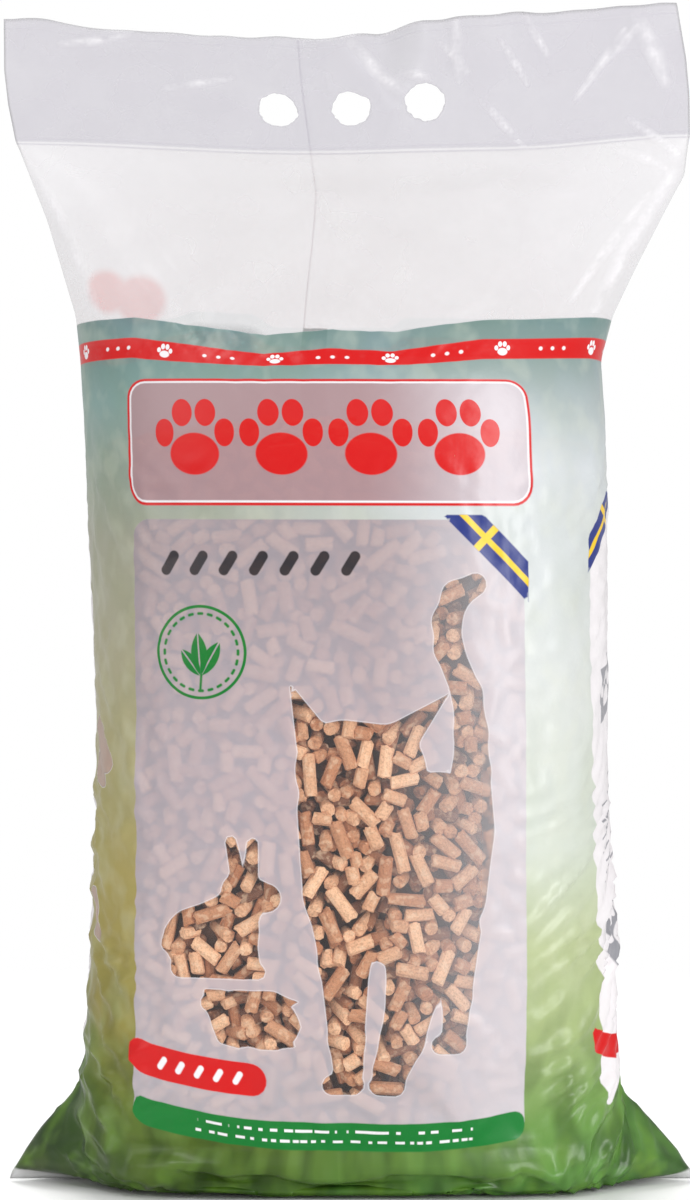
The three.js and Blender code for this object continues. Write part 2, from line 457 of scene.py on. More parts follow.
wrinkles = {
    "height": 2.2,
    "spacing": 14.5,
    "rise": 0.55,  # they climb to the right
    "start": 84,  # across, from the middle of each face
    "full": 116,
    "lowBelow": 275,
    "above": 0.16,  # how much of them is left higher up
}
creases = [
    (-131, 330, -108, 256, 4.5, 1.2),
    (-105, 224, -131, 146, 2.6, 1.1),
    (-111, 226, -139, 150, 2.4, 0.9),
    (-119, 222, -146, 160, 2.4, 0.8),
    (-150, 208, -114, 192, 2.4, 0.9),
    (-138, 141, -106, 128, 2.6, 1.1),
    (-168, 262, -140, 240, 3.0, 0.8),
    (6, 698, 29, 664, 5.0, 1.6),
    (30, 676, 44, 671, 3.4, 0.8),
    (62, 704, 60, 668, 3.6, 1.2),
    (52, 690, 66, 672, 2.6, 0.8),
    (71, 657, 91, 632, 3.0, 1.0),
    (84, 690, 96, 664, 2.6, 0.8),
    (158, 697, 168, 660, 6.0, 1.6),
    (140, 676, 156, 690, 3.0, 0.9),
    (138, 627, 172, 610, 3.4, 1.2),
    (148, 642, 174, 620, 3.2, 1.1),
    (120, 655, 150, 690, 3.0, 0.8),
    (98, 702, 108, 680, 3.0, 0.8),
    (172, 608, 140, 520, 7.0, 1.6),
    (160, 596, 126, 536, 4.0, 0.9),
    (-172, 604, -140, 524, 6.0, 1.0),
    (-150, 690, -114, 700, 3.4, 0.6),
    (-96, 668, -60, 676, 3.0, 0.5),
]


def creaseFields(x, y):
    # how high the creases stand, and how far each place is from one in crease widths
    height, away = np.zeros(x.shape), np.full(x.shape, 9.0)
    for x1, y1, x2, y2, wide, high in creases:
        dx, dy = x2 - x1, y2 - y1
        run = ((x - x1) * dx + (y - y1) * dy) / (dx * dx + dy * dy)
        held = np.clip(run, 0, 1)
        off = np.hypot(x - x1 - held * dx, y - y1 - held * dy) / wide
        height += high * np.exp(-off * off) * np.sin(math.pi * np.clip(held, 0.12, 0.88)) ** 0.7
        away = np.minimum(away, off + 0.8 * np.abs(held - 0.5))
    return height, away


def flatPlaces(points):
    rows, columns = points.shape[:2]
    x = firstAround() + np.arange(columns) * 2 * filmBag["flatWidth"] / columns
    return np.meshgrid(x, np.arange(rows) * tubeLength() / (rows - 1))


def wrinkled(points):
    x, y = flatPlaces(points)
    half = filmBag["flatWidth"] / 2
    facing = np.where(np.abs(x) < half, x, np.where(x < 0, x + 2 * half, x - 2 * half))
    places = zip((x.ravel() * 0.02).tolist(), (y.ravel() * 0.02).tolist())
    drift, strength = np.array(
        [(noise.noise((a, b, 4.0)), noise.noise((a * 1.3, b * 1.9, 8.0))) for a, b in places]
    ).T.reshape(2, *x.shape)
    side = smoothStep(wrinkles["start"], wrinkles["full"], np.abs(facing))
    side *= 1 - 0.65 * smoothStep(150, half, np.abs(facing))
    low = 1 - smoothStep(wrinkles["lowBelow"] - 45, wrinkles["lowBelow"] + 30, y)
    high = smoothStep(36, 62, y) * (1 - smoothStep(430, 500, y))
    amount = wrinkles["height"] * side * high * (wrinkles["above"] + (1 - wrinkles["above"]) * low)
    amount *= np.clip(0.85 + 1.7 * strength, 0.15, 1.5) * np.where(facing < 0, 0.5, 1)
    phase = 2 * math.pi * (y - wrinkles["rise"] * facing) / wrinkles["spacing"] + 9 * drift
    crest = 1 - 1.6 * np.abs(np.sin(phase / 2)) ** 0.9
    front = np.where(np.abs(x) < half, 1, -1)
    together = np.where(y > filmBag["weldAt"] - 6, front, 1)  # the welded layers bend as one
    across = np.where(y > filmBag["weldAt"] - 6, facingAcross(x), x)
    ridge, _ = creaseFields(across, y)
    push = amount * crest + ridge * together
    return points + normalsOf(points) * push[:, :, None]


def facingAcross(around):
    # the place across the flat bag of a place around the tube
    half = filmBag["flatWidth"] / 2
    return np.where(np.abs(around) <= half, around, np.where(around < 0, -2 * half, 2 * half) - around)


def normalsOf(points):
    aroundStep = np.roll(points, -1, axis=1) - np.roll(points, 1, axis=1)
    upStep = np.gradient(points, axis=0)
    normals = np.cross(aroundStep, upStep)
    return normals / np.maximum(np.linalg.norm(normals, axis=2, keepdims=True), 1e-9)


def surfaceOf(points):
    return {
        "points": points,
        "normals": normalsOf(points),
        "rowStep": tubeLength() / (points.shape[0] - 1),
        "columnStep": 2 * filmBag["flatWidth"] / points.shape[1],
    }


def surfaceAt(surface, around, along):
    # the place and the outward direction of the film at a place around it and along it
    rows, columns = surface["points"].shape[:2]
    c = (around - firstAround()) / surface["columnStep"]
    r = min(max(along / surface["rowStep"], 0), rows - 1.001)
    c0, r0 = math.floor(c), math.floor(r)
    u, v = c - c0, r - r0
    left, right = c0 % columns, (c0 + 1) % columns
    read = []
    for grid in (surface["points"], surface["normals"]):
        low = grid[r0, left] * (1 - u) + grid[r0, right] * u
        high = grid[r0 + 1, left] * (1 - u) + grid[r0 + 1, right] * u
        read.append(low * (1 - v) + high * v)
    return read[0], read[1] / np.linalg.norm(read[1])


# The pellets: short rods with broken ends, which lie against the film in every direction

pellets = {
    "width": 7.0,
    "sides": 10,
    "kinds": 9,
    "shortest": 8,
    "longest": 23,
    "fillers": (6, 11),  # short ones drop into the gaps
    "closeness": 0.9,
    "broken": 0.75,  # how rough the ends are
    "gap": 0.55,  # between a pellet and the film
    "sideGap": 3.4,  # more where the film wrinkles
    "topGap": 3.2,  # and towards the top of the fill
    "standing": 0.34,  # share that point inwards and show an end
    "layerStep": 4.4,
    "tries": 60000,
    "from": 92,  # lowest place along the film
    "fillTop": 396,
    "fillDrop": 14,  # the top falls by this much to the film
    "highest": 500,  # along the film
    "lowest": (4, 24),  # height of the lowest pellets at the film, and behind them
    "topReach": 121,  # how far the pellets on top reach to each side
    "topInset": 11,  # and how far short of the film they end at the front and back
}


def makePelletKinds(rng):
    radius = pellets["width"] / 2
    kinds = []
    for k in range(pellets["kinds"]):
        shape = bmesh.new()
        bmesh.ops.create_cone(
            shape, cap_ends=True, segments=pellets["sides"], radius1=radius, radius2=radius, depth=2
        )
        ends = [face for face in shape.faces if abs(face.normal.z) > 0.9]
        bmesh.ops.inset_individual(shape, faces=ends, thickness=radius * 0.24)
        for face in ends:
            bmesh.ops.translate(shape, verts=face.verts, vec=(0, 0, math.copysign(0.35, face.normal.z)))
        bmesh.ops.poke(shape, faces=ends)
        shape.normal_update()
        slants = rng.normal(0, 0.13, (2, 2))
        for vertex in shape.verts:
            slant = slants[int(vertex.co.z > 0)]
            rough = rng.uniform(-1, 1, 3) * pellets["broken"]
            outer = vertex.co.xy.length > radius * 0.9
            slanted = vertex.co.x * slant[0] + vertex.co.y * slant[1]
            vertex.co.z += slanted + rough[2] * (0.6 if outer else 1)
            vertex.co.x *= 1 + rough[0] * 0.05
            vertex.co.y *= 1 + rough[1] * 0.05
        for face in shape.faces:
            face.smooth = all(abs(vertex.co.xy.length - radius) < radius * 0.1 for vertex in face.verts)
        mesh = bpy.data.meshes.new("pelletKind")
        shape.to_mesh(mesh)
        shape.free()
        mesh.attributes.new("toneAndShade", "FLOAT", "POINT")
        places = np.zeros(len(mesh.vertices) * 3, np.float32)
        mesh.vertices.foreach_get("co", places)
        kinds.append((mesh, places.reshape(-1, 3).astype(float)))
    return kinds


def throwPellets(rng, wide, high, wraps, tries):
    # pellets on a flat area one by one, each kept where it lies clear of the others
    cell = pellets["width"] * pellets["closeness"]
    columns = math.floor(wide / cell)
    cells, thrown = {}, []
    for k in range(tries):
        filler = k > tries * 0.4
        low, top = pellets["fillers"] if filler else (pellets["shortest"], pellets["longest"])
        length = rng.triangular(low, low + (top - low) * 0.45, top)
        standing = rng.random() < pellets["standing"]
        tilt = math.radians(rng.uniform(35, 82) if standing else rng.uniform(-9, 9))
        turn = rng.uniform(0, math.pi)
        x, y = rng.uniform(0, wide), rng.uniform(0, high)
        reach = max(length * math.cos(tilt) - pellets["width"] * 0.85, 0) / 2
        steps = np.linspace(-reach, reach, 2 + int(reach / 2.5))
        dots = [((x + s * math.cos(turn)), y + s * math.sin(turn)) for s in steps]
        if not wraps and any(not 0 < dot[0] < wide for dot in dots):
            continue
        clear = True
        for px, py in dots:
            column, row = math.floor(px / wide * columns), math.floor(py / cell)
            for c in (-1, 0, 1):
                for r in (-1, 0, 1):
                    for qx, qy in cells.get(((column + c) % columns, row + r), ()):
                        dx = (px - qx + wide / 2) % wide - wide / 2
                        if dx * dx + (py - qy) ** 2 < cell * cell:
                            clear = False
                            break
                    if not clear:
                        break
                if not clear:
                    break
            if not clear:
                break
        if not clear:
            continue
        for px, py in dots:
            key = (math.floor(px / wide * columns) % columns, math.floor(py / cell))
            cells.setdefault(key, []).append((px, py))
        thrown.append((x, y, turn, length, tilt))
    return thrown


def fillTopAt(x, y):
    reach = min((x / 136) ** 2 + (y / 72) ** 2, 1.0)
    return pellets["fillTop"] - pellets["fillDrop"] * reach + 3 * noise.noise(Vector((x / 45, y / 45, 1)))


def addPellet(heap, kinds, rng, start, end, length, toneAndShadeRange=(0.35, 1)):
    mesh, places = kinds[rng.integers(len(kinds))]
    axis = Vector(end - start).normalized()
    turn = (axis.to_track_quat("Z", "Y") @ Quaternion((0, 0, 1), rng.uniform(0, 6.28))).to_matrix()
    longer = places.copy()
    longer[:, 2] += np.sign(places[:, 2]) * (length / 2 - 1)
    longer[:, :2] *= rng.uniform(0.95, 1.05)
    moved = longer @ np.array(turn).T + (start + end) / 2
    mesh.vertices.foreach_set("co", (moved * mm).astype(np.float32).reshape(-1))
    mesh.attributes["toneAndShade"].data.foreach_set("value", [rng.uniform(*toneAndShadeRange)] * len(places))
    heap.from_mesh(mesh)


def againstFilm(surface, x, y, turn, length, tilt, depth):
    # the two ends of a pellet that lies at this depth under the film
    half = length * math.cos(tilt) / 2
    sunk = abs(length * math.sin(tilt))
    depth += pellets["sideGap"] * smoothStep(86, 128, abs(acrossOf(x)))
    depth += pellets["topGap"] * smoothStep(400, 445, y)
    step = (half * math.cos(turn), half * math.sin(turn))
    start, startNormal = surfaceAt(surface, x - step[0], y - step[1])
    end, endNormal = surfaceAt(surface, x + step[0], y + step[1])
    middle, middleNormal = surfaceAt(surface, x, y)
    start = start - startNormal * depth
    end = end - endNormal * (depth + sunk)
    above = np.dot((start + end) / 2 - middle + middleNormal * (depth + sunk / 2), middleNormal)
    push = middleNormal * max(above, 0)
    return start - push, end - push


def makeFill(surface):
    rng = np.random.default_rng(7)
    kinds = makePelletKinds(rng)
    heaps = {name: bmesh.new() for name in ("pelletsFront", "pelletsBack", "pelletsInner", "pelletsTop")}
    girth, high = 2 * filmBag["flatWidth"], pellets["highest"] - pellets["from"]
    pressed = []
    for layer in range(2):
        depth = pellets["width"] / 2 + pellets["gap"] + layer * pellets["layerStep"]
        for x, y, turn, length, tilt in throwPellets(rng, girth, high, True, pellets["tries"]):
            around, along = x + firstAround(), y + pellets["from"]
            start, end = againstFilm(surface, around, along, turn, length, tilt, depth)
            middle = (start + end) / 2
            if max(start[2], end[2]) > fillTopAt(*middle[:2]) - 1:
                continue
            if min(start[2], end[2]) < pellets["lowest"][layer]:
                continue
            outer = "pelletsFront" if abs(around) < 180 else "pelletsBack"
            # the inner layer takes the darkest tones: painted shade between the outer pellets
            toneAndShadeRange = (0, 0.35) if layer else (0.35, 1)
            addPellet(heaps["pelletsInner" if layer else outer], kinds, rng, start, end, length, toneAndShadeRange)
            if not layer and abs(tilt) < 0.2:
                pressed.append((around, along, turn, length))
    wide, deep = 300, 168
    topDepth = sectionDepth(385) - pellets["topInset"]
    for layer in range(2):
        for x, y, turn, length, tilt in throwPellets(rng, wide, deep, False, pellets["tries"] // 4):
            x, y = x - wide / 2, y - deep / 2
            if (abs(x) / pellets["topReach"]) ** 2.6 + (abs(y) / topDepth) ** 2.6 > 1:
                continue
            half = length * math.cos(tilt) / 2
            step = np.array([half * math.cos(turn), half * math.sin(turn), length * math.sin(tilt) / 2])
            middle = np.array([x, y, fillTopAt(x, y) - pellets["layerStep"] * layer - abs(step[2]) * 0.6])
            addPellet(heaps["pelletsTop"], kinds, rng, middle - step, middle + step, length)
    return {name: addPiece(name, heap) for name, heap in heaps.items()}, pressed


def makeCore():
    # what lies deeper than two layers of pellets, seen only as the dark between them; its dark brown is
    # painted shade
    heights = np.linspace(26, pellets["fillTop"] - 26, 32)
    rings = []
    for z in heights:
        ring = supportRing(z)
        ring[:, :2] -= ring[:, :2] / np.hypot(*ring[:, :2].T)[:, None] * 12
        rings.append(ring)
    shape = tubeGrid(np.array(rings))
    bmesh.ops.holes_fill(shape, edges=[edge for edge in shape.edges if edge.is_boundary])
    bmesh.ops.triangulate(shape, faces=[face for face in shape.faces if len(face.verts) > 4])
    bmesh.ops.recalc_face_normals(shape, faces=shape.faces)
    return addPiece("pelletsDeep", shape)


def pressedOut(surface, pressed):
    # how far the pellets push the film out, on the surface's own grid
    height = np.zeros(surface["points"].shape[:2])
    reach = pellets["width"] * 0.62
    for around, along, turn, length in pressed:
        half = length / 2
        rows = np.arange(
            max(int((along - half - reach) / surface["rowStep"]), 0),
            min(int((along + half + reach) / surface["rowStep"]) + 2, height.shape[0]),
        )
        first = math.floor((around - firstAround() - half - reach) / surface["columnStep"])
        columns = np.arange(first, first + int((2 * half + 2 * reach) / surface["columnStep"]) + 3)
        r, c = np.meshgrid(rows, columns, indexing="ij")
        dx = firstAround() + c * surface["columnStep"] - around
        dy = r * surface["rowStep"] - along
        run = np.clip(dx * math.cos(turn) + dy * math.sin(turn), -half + 2, half - 2)
        off = np.hypot(dx - run * math.cos(turn), dy - run * math.sin(turn)) / reach
        dome = np.clip(1 - off * off, 0, 1)
        c = c % height.shape[1]
        height[r, c] = np.maximum(height[r, c], dome)
    return height


# The print, laid out on the flat film: across from the middle of the front, and up from the bottom weld

printing = {
    "top": 524,
    "slack": [(-180, -2), (-114, 1), (-76, -4), (-40, -9), (-6, -5), (28, -7), (74, 0), (146, 2), (180, 1)],
    "backSlack": [(-180, -2), (-128, 1), (-96, 8), (-84, 12), (-52, 11), (-40, 3), (28, 3), (34, 9),
                  (124, 7), (180, 1)],
    "redBand": {"below": 12, "high": 12},
    "namePanel": {"left": -116, "right": 96, "bottom": 420, "top": 488, "radius": 11},
    "bandPaws": {"first": -34, "spacing": 60, "size": 7.6},
    "bandDots": {"first": -4, "spacing": 7.5, "radius": 1.15, "reach": 12},
    "namePaws": {"first": 12.5, "spacing": 45, "along": 454, "size": 36.5, "left": -100, "right": 80},
    "headingMarks": {"first": -92, "spacing": 15.5, "along": 391, "slant": 58, "half": 4.2, "radius": 2.7,
                     "left": -100, "right": 8},
    "tabMarks": {"first": -78, "spacing": 10, "along": 27.5, "slant": 62, "half": 2.2, "radius": 1.5,
                 "left": -103, "right": -53},
    "seal": {"across": -76, "along": 346, "inner": 22.3, "outer": 23.9, "beadRing": 19.5, "beads": 24},
    "mainPanel": {"left": -114, "right": 90, "bottom": 97, "top": 413, "radius": 10},
    "smile": {"middle": 5, "low": 98.4, "bend": 0.00098},  # the line that the bands at the foot follow
    "greenBand": {"left": -114, "right": 90, "half": 7.3, "radius": 6},
    "redTab": {"left": -118, "right": -43, "bottom": 19, "top": 36, "radius": 8.4},
    "ribbon": {"inner": 327.5, "outer": 342.5, "cross": -236},
    "backRibbon": {"inner": 176, "outer": 190, "cross": 402},
    "infoPanel": {"left": 137.5, "right": 332, "bottom": 98, "top": 424, "radius": 9},
    "secondPanel": {"left": -322, "right": -176, "bottom": 84, "top": 424, "radius": 9},
    "infoTab": {"left": 130, "right": 190, "bottom": 134, "top": 147, "radius": 3},
    "spots": [(-242, 541, 15), (-221, 545, 13)],
    "frontFrom": -160,  # the faces between these places take the front's finish, the others the back's
    "frontTo": 128,
}

# Silhouettes as rods that taper from one round end to the other: x, y, radius, twice
catRods = [
    (-3, 287, 25, 14, 286, 24),  # head
    (-19, 303, 9, -29.8, 329, 0.6),
    (26, 303.5, 8.8, 48, 324, 0.5),
    (-1, 266, 26, 0, 226, 24.5),  # chest and flank
    (44, 257, 29, 41, 226, 28),
    (20, 256, 31, 22, 220, 31),
    (-1, 221, 22, -4, 190, 12.6),
    (-4, 190, 12.6, -2.5, 150, 8.8),  # legs
    (-2.5, 150, 8.8, -1.6, 134, 7.6),
    (-9.5, 125.6, 5.2, 0.8, 125.6, 5.3),
    (33, 200, 17, 30.5, 174, 12.8),
    (30.5, 174, 12.8, 25.6, 150, 10.8),
    (25.6, 150, 10.8, 19.8, 134, 9),
    (14.5, 125.4, 5.2, 21.8, 125.4, 5.4),
    (50, 203, 16, 53.4, 172, 7.4),
    (53.4, 172, 7.4, 52, 152, 6),
    (45.2, 147.4, 4.6, 53.4, 147.4, 4.8),
]
tailRods = [
    (58, 262, 15, 61, 286, 9.6),
    (61, 286, 9.6, 60.8, 306, 8.2),
    (60.8, 306, 8.2, 59, 325, 7.4),
    (59, 325, 7.4, 49.8, 348, 7),
    (49.8, 348, 7, 49, 362, 7),
    (49, 362, 7, 54, 375, 6.8),
    (54, 375, 6.8, 64, 380.5, 5.6),
]
rabbitRods = [
    (-80, 200, 16.5, -64, 205, 17),
    (-64, 207, 17, -56, 218, 11),
    (-56, 225, 10, -43, 222, 7.2),  # head
    (-57.5, 233, 3.6, -60.8, 250.5, 2.8),
    (-50.5, 232, 3.4, -49.8, 249.5, 2.8),
    (-58, 202, 10, -52, 188, 5.5),  # legs
    (-53, 185.5, 4.8, -47.5, 184.4, 3.6),
    (-88, 186, 5.2, -56, 184.8, 4.2),
    (-94, 198, 4.5, -92, 203, 4.5),
]
guineaPigRods = [
    (-58, 161, 14, -44, 160, 14.5),
    (-44, 160, 14.5, -37, 157, 10.5),
    (-66, 165, 9, -73, 168.5, 4.5),
    (-67, 172, 3, -75.5, 174.5, 0.6),
    (-40, 170, 4, -28, 169.5, 0.5),  # tufts
    (-36, 160, 5, -26.5, 157, 0.5),
    (-38, 150, 4.5, -29, 146.8, 0.6),
    (-64, 152, 5, -57, 147.6, 2.4),
    (-46, 147.8, 2.6, -38, 147.6, 2.6),
]
sideRods = [
    (-150, 298, 6, -140, 284, 7),
    (-151, 279, 4, -146, 272, 5),
    (-152, 204, 4.5, -149, 188, 6),
]


def boxField(x, y, box):
    # how far outside a rounded box each place is, less than 0 inside it
    middle = (box["left"] + box["right"]) / 2, (box["bottom"] + box["top"]) / 2
    half = (box["right"] - box["left"]) / 2, (box["top"] - box["bottom"]) / 2
    over = [np.abs(value - m) - h + box["radius"] for value, m, h in zip((x, y), middle, half)]
    outside = np.hypot(np.maximum(over[0], 0), np.maximum(over[1], 0))
    return outside + np.minimum(np.maximum(*over), 0) - box["radius"]


def rodsField(x, y, rods, blend=4.0):
    field = np.full(x.shape, 1000.0)
    for x1, y1, r1, x2, y2, r2 in rods:
        dx, dy = x2 - x1, y2 - y1
        run = np.clip(((x - x1) * dx + (y - y1) * dy) / (dx * dx + dy * dy), 0, 1)
        rod = np.hypot(x - x1 - run * dx, y - y1 - run * dy) - r1 - (r2 - r1) * run
        join = np.clip(0.5 + 0.5 * (field - rod) / blend, 0, 1)
        field = field * (1 - join) + rod * join - blend * join * (1 - join)
    return field


def printFields(surface):
    # distances to the edges of the printed areas, kept on the film's points
    rows, columns = surface["points"].shape[:2]
    x, y = np.meshgrid(
        firstAround() + np.arange(columns) * surface["columnStep"],
        np.arange(rows) * surface["rowStep"],
    )
    smile = printing["smile"]
    overSmile = y - smile["low"] - smile["bend"] * (x - smile["middle"]) ** 2
    facing = np.where(np.abs(x) < 180, x, np.where(x < 0, x + 360, x - 360))
    frontSlack = np.interp(facing, *zip(*printing["slack"]))
    backSlack = np.interp(facingAcross(x), *zip(*printing["backSlack"]))
    slack = np.where(np.abs(x) < 180, frontSlack, backSlack) * smoothStep(488, 505, y)
    top = y - slack - printing["top"]
    red = printing["redBand"]
    green = {"bottom": -printing["greenBand"]["half"], "top": printing["greenBand"]["half"]}
    ribbon, backRibbon = printing["ribbon"], printing["backRibbon"]
    diagonal, climbing = (x + y) / math.sqrt(2), (y - x) / math.sqrt(2)
    panel = np.maximum(boxField(x, y, printing["mainPanel"]), diagonal - ribbon["outer"])
    panel = np.maximum(panel, -overSmile)
    cat = np.minimum(rodsField(x, y, catRods, 3), rodsField(x, y, tailRods, 3))
    creatures = np.minimum(
        cat, np.minimum(rodsField(x, y, rabbitRods, 1.6), rodsField(x, y, guineaPigRods, 2))
    )
    spots = [np.hypot(x - sx, y - sy) - radius for sx, sy, radius in printing["spots"]]
    return {
        "clearFrom": -top,
        "redBand": np.maximum(top + red["below"], -(top + red["below"] + red["high"])),
        "namePanel": boxField(x, y, printing["namePanel"]),
        "mainPanel": panel,
        "greenBand": boxField(x, overSmile, {**printing["greenBand"], **green}),
        "redTab": boxField(x, overSmile, printing["redTab"]),
        "ribbon": np.maximum(np.abs(diagonal - (ribbon["inner"] + ribbon["outer"]) / 2)
                             - (ribbon["outer"] - ribbon["inner"]) / 2,
                             boxField(x, y, {**printing["mainPanel"], "radius": 0}) - 2.5),
        "infoPanel": np.maximum(boxField(x, y, printing["infoPanel"]), climbing - backRibbon["outer"]),
        "backRibbon": np.maximum(np.abs(climbing - (backRibbon["inner"] + backRibbon["outer"]) / 2)
                                 - (backRibbon["outer"] - backRibbon["inner"]) / 2,
                                 boxField(x, y, {**printing["infoPanel"], "radius": 0}) - 2.5),
        "secondPanel": boxField(x, y, printing["secondPanel"]),
        "infoTab": boxField(x, y + (x - 131) * 0.85, printing["infoTab"]),
        "spots": np.minimum(*spots),
        "creases": creaseFields(np.where(y > filmBag["weldAt"] - 6, facingAcross(x), x), y)[1],
        "windows": np.minimum(creatures, rodsField(x, y, sideRods)),
    }


# The film's own mesh: bumps from the pellets, ends closed, carry holes cut through both layers

bumps = {"height": 0.5, "below": 0.28}
carryHoles = {"along": 657.5, "middles": (-37, 2, 41), "radius": 10.2, "ragged": 0.09}


def mirrorColumn(c, columns):
    step = 2 * filmBag["flatWidth"] / columns
    around = firstAround() + c * step
    return round((-filmBag["flatWidth"] - around - firstAround()) / step) % columns


def makeFilm(surface, pressed):
    pushed = pressedOut(surface, pressed)
    rows, columns = pushed.shape
    along = np.arange(rows)[:, None] * surface["rowStep"]
    filled = smoothStep(40, 60, along) * (1 - smoothStep(430, 462, along))
    push = (pushed * bumps["height"] - bumps["below"]) * filled
    points = surface["points"] + surface["normals"] * push[:, :, None]
    shape = tubeGrid(points, printFields(surface))
    shape.verts.ensure_lookup_table()
    ends = {}
    for r in (0, rows - 1):
        for c in range(columns):
            onFront = abs(firstAround() + c * surface["columnStep"]) < filmBag["flatWidth"] / 2
            if not onFront and mirrorColumn(c, columns) != c:
                ends[shape.verts[r * columns + c]] = shape.verts[r * columns + mirrorColumn(c, columns)]
    bmesh.ops.weld_verts(shape, targetmap=ends)
    shareFinishes(shape)
    cutCarryHoles(shape)
    return addPiece("film", shape)


def shareFinishes(shape):
    # 0 for the front's print, 1 for the back's, 2 for the clear film above the print
    uv = shape.loops.layers.uv["OFBake"]
    clearFrom = shape.verts.layers.float["clearFrom"]
    for face in shape.faces:
        around = firstAround() + np.mean([loop[uv].uv.x for loop in face.loops]) * 2 * filmBag["flatWidth"]
        onFront = printing["frontFrom"] < around < printing["frontTo"]
        bare = max(vertex[clearFrom] for vertex in face.verts) < -1
        face.material_index = 2 if bare else 0 if onFront else 1


def flatPlace(vertex, uv):
    # where a point of the film lies on the flat tube
    place = vertex.link_loops[0][uv].uv
    return firstAround() + place.x * 2 * filmBag["flatWidth"], place.y * tubeLength()


def acrossOf(around):
    half = filmBag["flatWidth"] / 2
    if abs(around) <= half:
        return around
    return (-2 if around < 0 else 2) * half - around


def offHole(vertex, uv, middle):
    # where a point of the header lies, measured from a carry hole's middle
    around, along = flatPlace(vertex, uv)
    return acrossOf(around) - middle, along - carryHoles["along"]


def facesNear(faces, uv, middle, reach):
    near = []
    for face in faces:
        x, y = np.mean([offHole(vertex, uv, middle) for vertex in face.verts], axis=0)
        if math.hypot(x, y) < reach:
            near.append(face)
    return near


def tornRadius(turn, middle):
    # a punched hole in film has a ragged rim
    wobble = noise.noise(Vector((math.cos(turn) * 1.3, math.sin(turn) * 1.3, middle)))
    tear = noise.noise(Vector((math.cos(turn) * 4, math.sin(turn) * 4, middle + 9)))
    return carryHoles["radius"] * (1 + carryHoles["ragged"] * (wobble * 1.6 + tear))


def cutCarryHoles(shape):
    uv = shape.loops.layers.uv["OFBake"]
    headerFrom = filmBag["weldAt"] + 4
    header = [face for face in shape.faces if face.loops[0][uv].uv.y * tubeLength() > headerFrom]
    for middle in carryHoles["middles"]:
        header = [face for face in header if face.is_valid]
        ring = facesNear(header, uv, middle, carryHoles["radius"] + 3.5)
        edges = list(dict.fromkeys(edge for face in ring for edge in face.edges))
        split = bmesh.ops.subdivide_edges(shape, edges=edges, cuts=1, use_grid_fill=True)
        fresh = [item for item in split["geom"] if isinstance(item, bmesh.types.BMFace)]
        inner = facesNear(fresh, uv, middle, carryHoles["radius"])
        bmesh.ops.delete(shape, geom=inner, context="FACES")
        rim = [edge for edge in shape.edges if edge.is_boundary]
        for vertex in dict.fromkeys(vertex for edge in rim for vertex in edge.verts):
            x, y = offHole(vertex, uv, middle)
            outwards = tornRadius(math.atan2(y, x), middle) / math.hypot(x, y) - 1
            lean = math.radians(easedTable(headerLean, middle + x))
            moved = Vector((outwards * x, outwards * y * math.sin(lean), outwards * y * math.cos(lean)))
            vertex.co += moved * mm
        flat = {vertex: vertex.link_loops[0][uv].uv.copy() for edge in rim for vertex in edge.verts}
        bridged = bmesh.ops.bridge_loops(shape, edges=rim)
        for face in bridged["faces"]:
            for loop in face.loops:
                loop[uv].uv = flat[loop.vert]


def makeLapWeld(surface):
    # the free edge of the film where the tube is lapped and welded up the back
    half = filmBag["lapWeldWidth"] / 2
    columns, rows = 6, surface["points"].shape[0] - 1
    fields = printFields(surface)
    shape = bmesh.new()
    uv = shape.loops.layers.uv.new("OFBake")
    layers = {name: shape.verts.layers.float.new(name) for name in fields}
    bmesh.ops.create_grid(shape, x_segments=columns, y_segments=rows, size=1, calc_uvs=True)
    for face in shape.faces:
        for loop in face.loops:
            loop[uv].uv.x = 1 - (1 - loop[uv].uv.x) * half / filmBag["flatWidth"]
    shape.verts.ensure_lookup_table()
    for r in range(rows + 1):
        along = min(r * surface["rowStep"], tubeLength() - 1)
        edge = 0.5 * noise.noise(Vector((along / 30, 3, 0)))
        for c in range(columns + 1):
            around = lapWeldAround() - half + c / columns * (2 * half + edge)
            place, normal = surfaceAt(surface, around, max(along, 3))
            lift = 0.35 if c < columns else 0.9
            vertex = shape.verts[r * (columns + 1) + c]
            vertex.co = Vector((place + normal * lift)) * mm
            for name, layer in layers.items():
                vertex[layer] = fields[name][r][0]
    return addPiece("lapWeld", shape)


# Finishes

inks = {
    "red": (206, 10, 12),
    "white": (238, 236, 239),
    "panelWhite": (236, 232, 234),
    "green": (0, 118, 42),
    "lavender": (202, 192, 200),
    "lavenderTop": (184, 174, 181),
    "lavenderPale": (216, 210, 216),
    "nameLavender": (170, 140, 144),
    "nameSheen": (208, 199, 205),
    "salmon": (232, 104, 92),
    "hazyWood": (212, 188, 174),
    "blue": (34, 50, 124),
    "yellow": (238, 198, 36),
    "grey": (150, 150, 156),
    "charcoal": (46, 43, 48),
    "clear": (218, 215, 219),
    "header": (186, 182, 192),
    "moss": (120, 138, 66),
    "mist": (232, 236, 214),
    "shade": (22, 50, 8),
    "blade": (104, 146, 40),
}
# the meadow's colours by height, on the left and on the right of each face: the print, with painted light
# that makes the right side of the bag paler and painted shade that makes its left side darker
meadow = {
    "left": [(0, (20, 38, 3)), (60, (44, 74, 8)), (105, (84, 108, 28)), (150, (144, 134, 66)),
             (230, (168, 155, 93)), (310, (172, 166, 131)), (400, (166, 166, 150)), (475, (130, 160, 155)),
             (524, (93, 125, 128))],
    "right": [(0, (32, 68, 12)), (60, (84, 138, 58)), (105, (106, 148, 70)), (150, (163, 181, 124)),
              (195, (188, 199, 155)), (245, (206, 213, 202)), (320, (214, 218, 214)), (440, (211, 216, 220)),
              (524, (94, 126, 128))],
}


def linear(colour):
    # a screen colour, 0 to 255, as a shader colour
    parts = [part / 255 for part in colour]
    return (*(part / 12.92 if part < 0.04045 else ((part + 0.055) / 1.055) ** 2.4 for part in parts), 1)


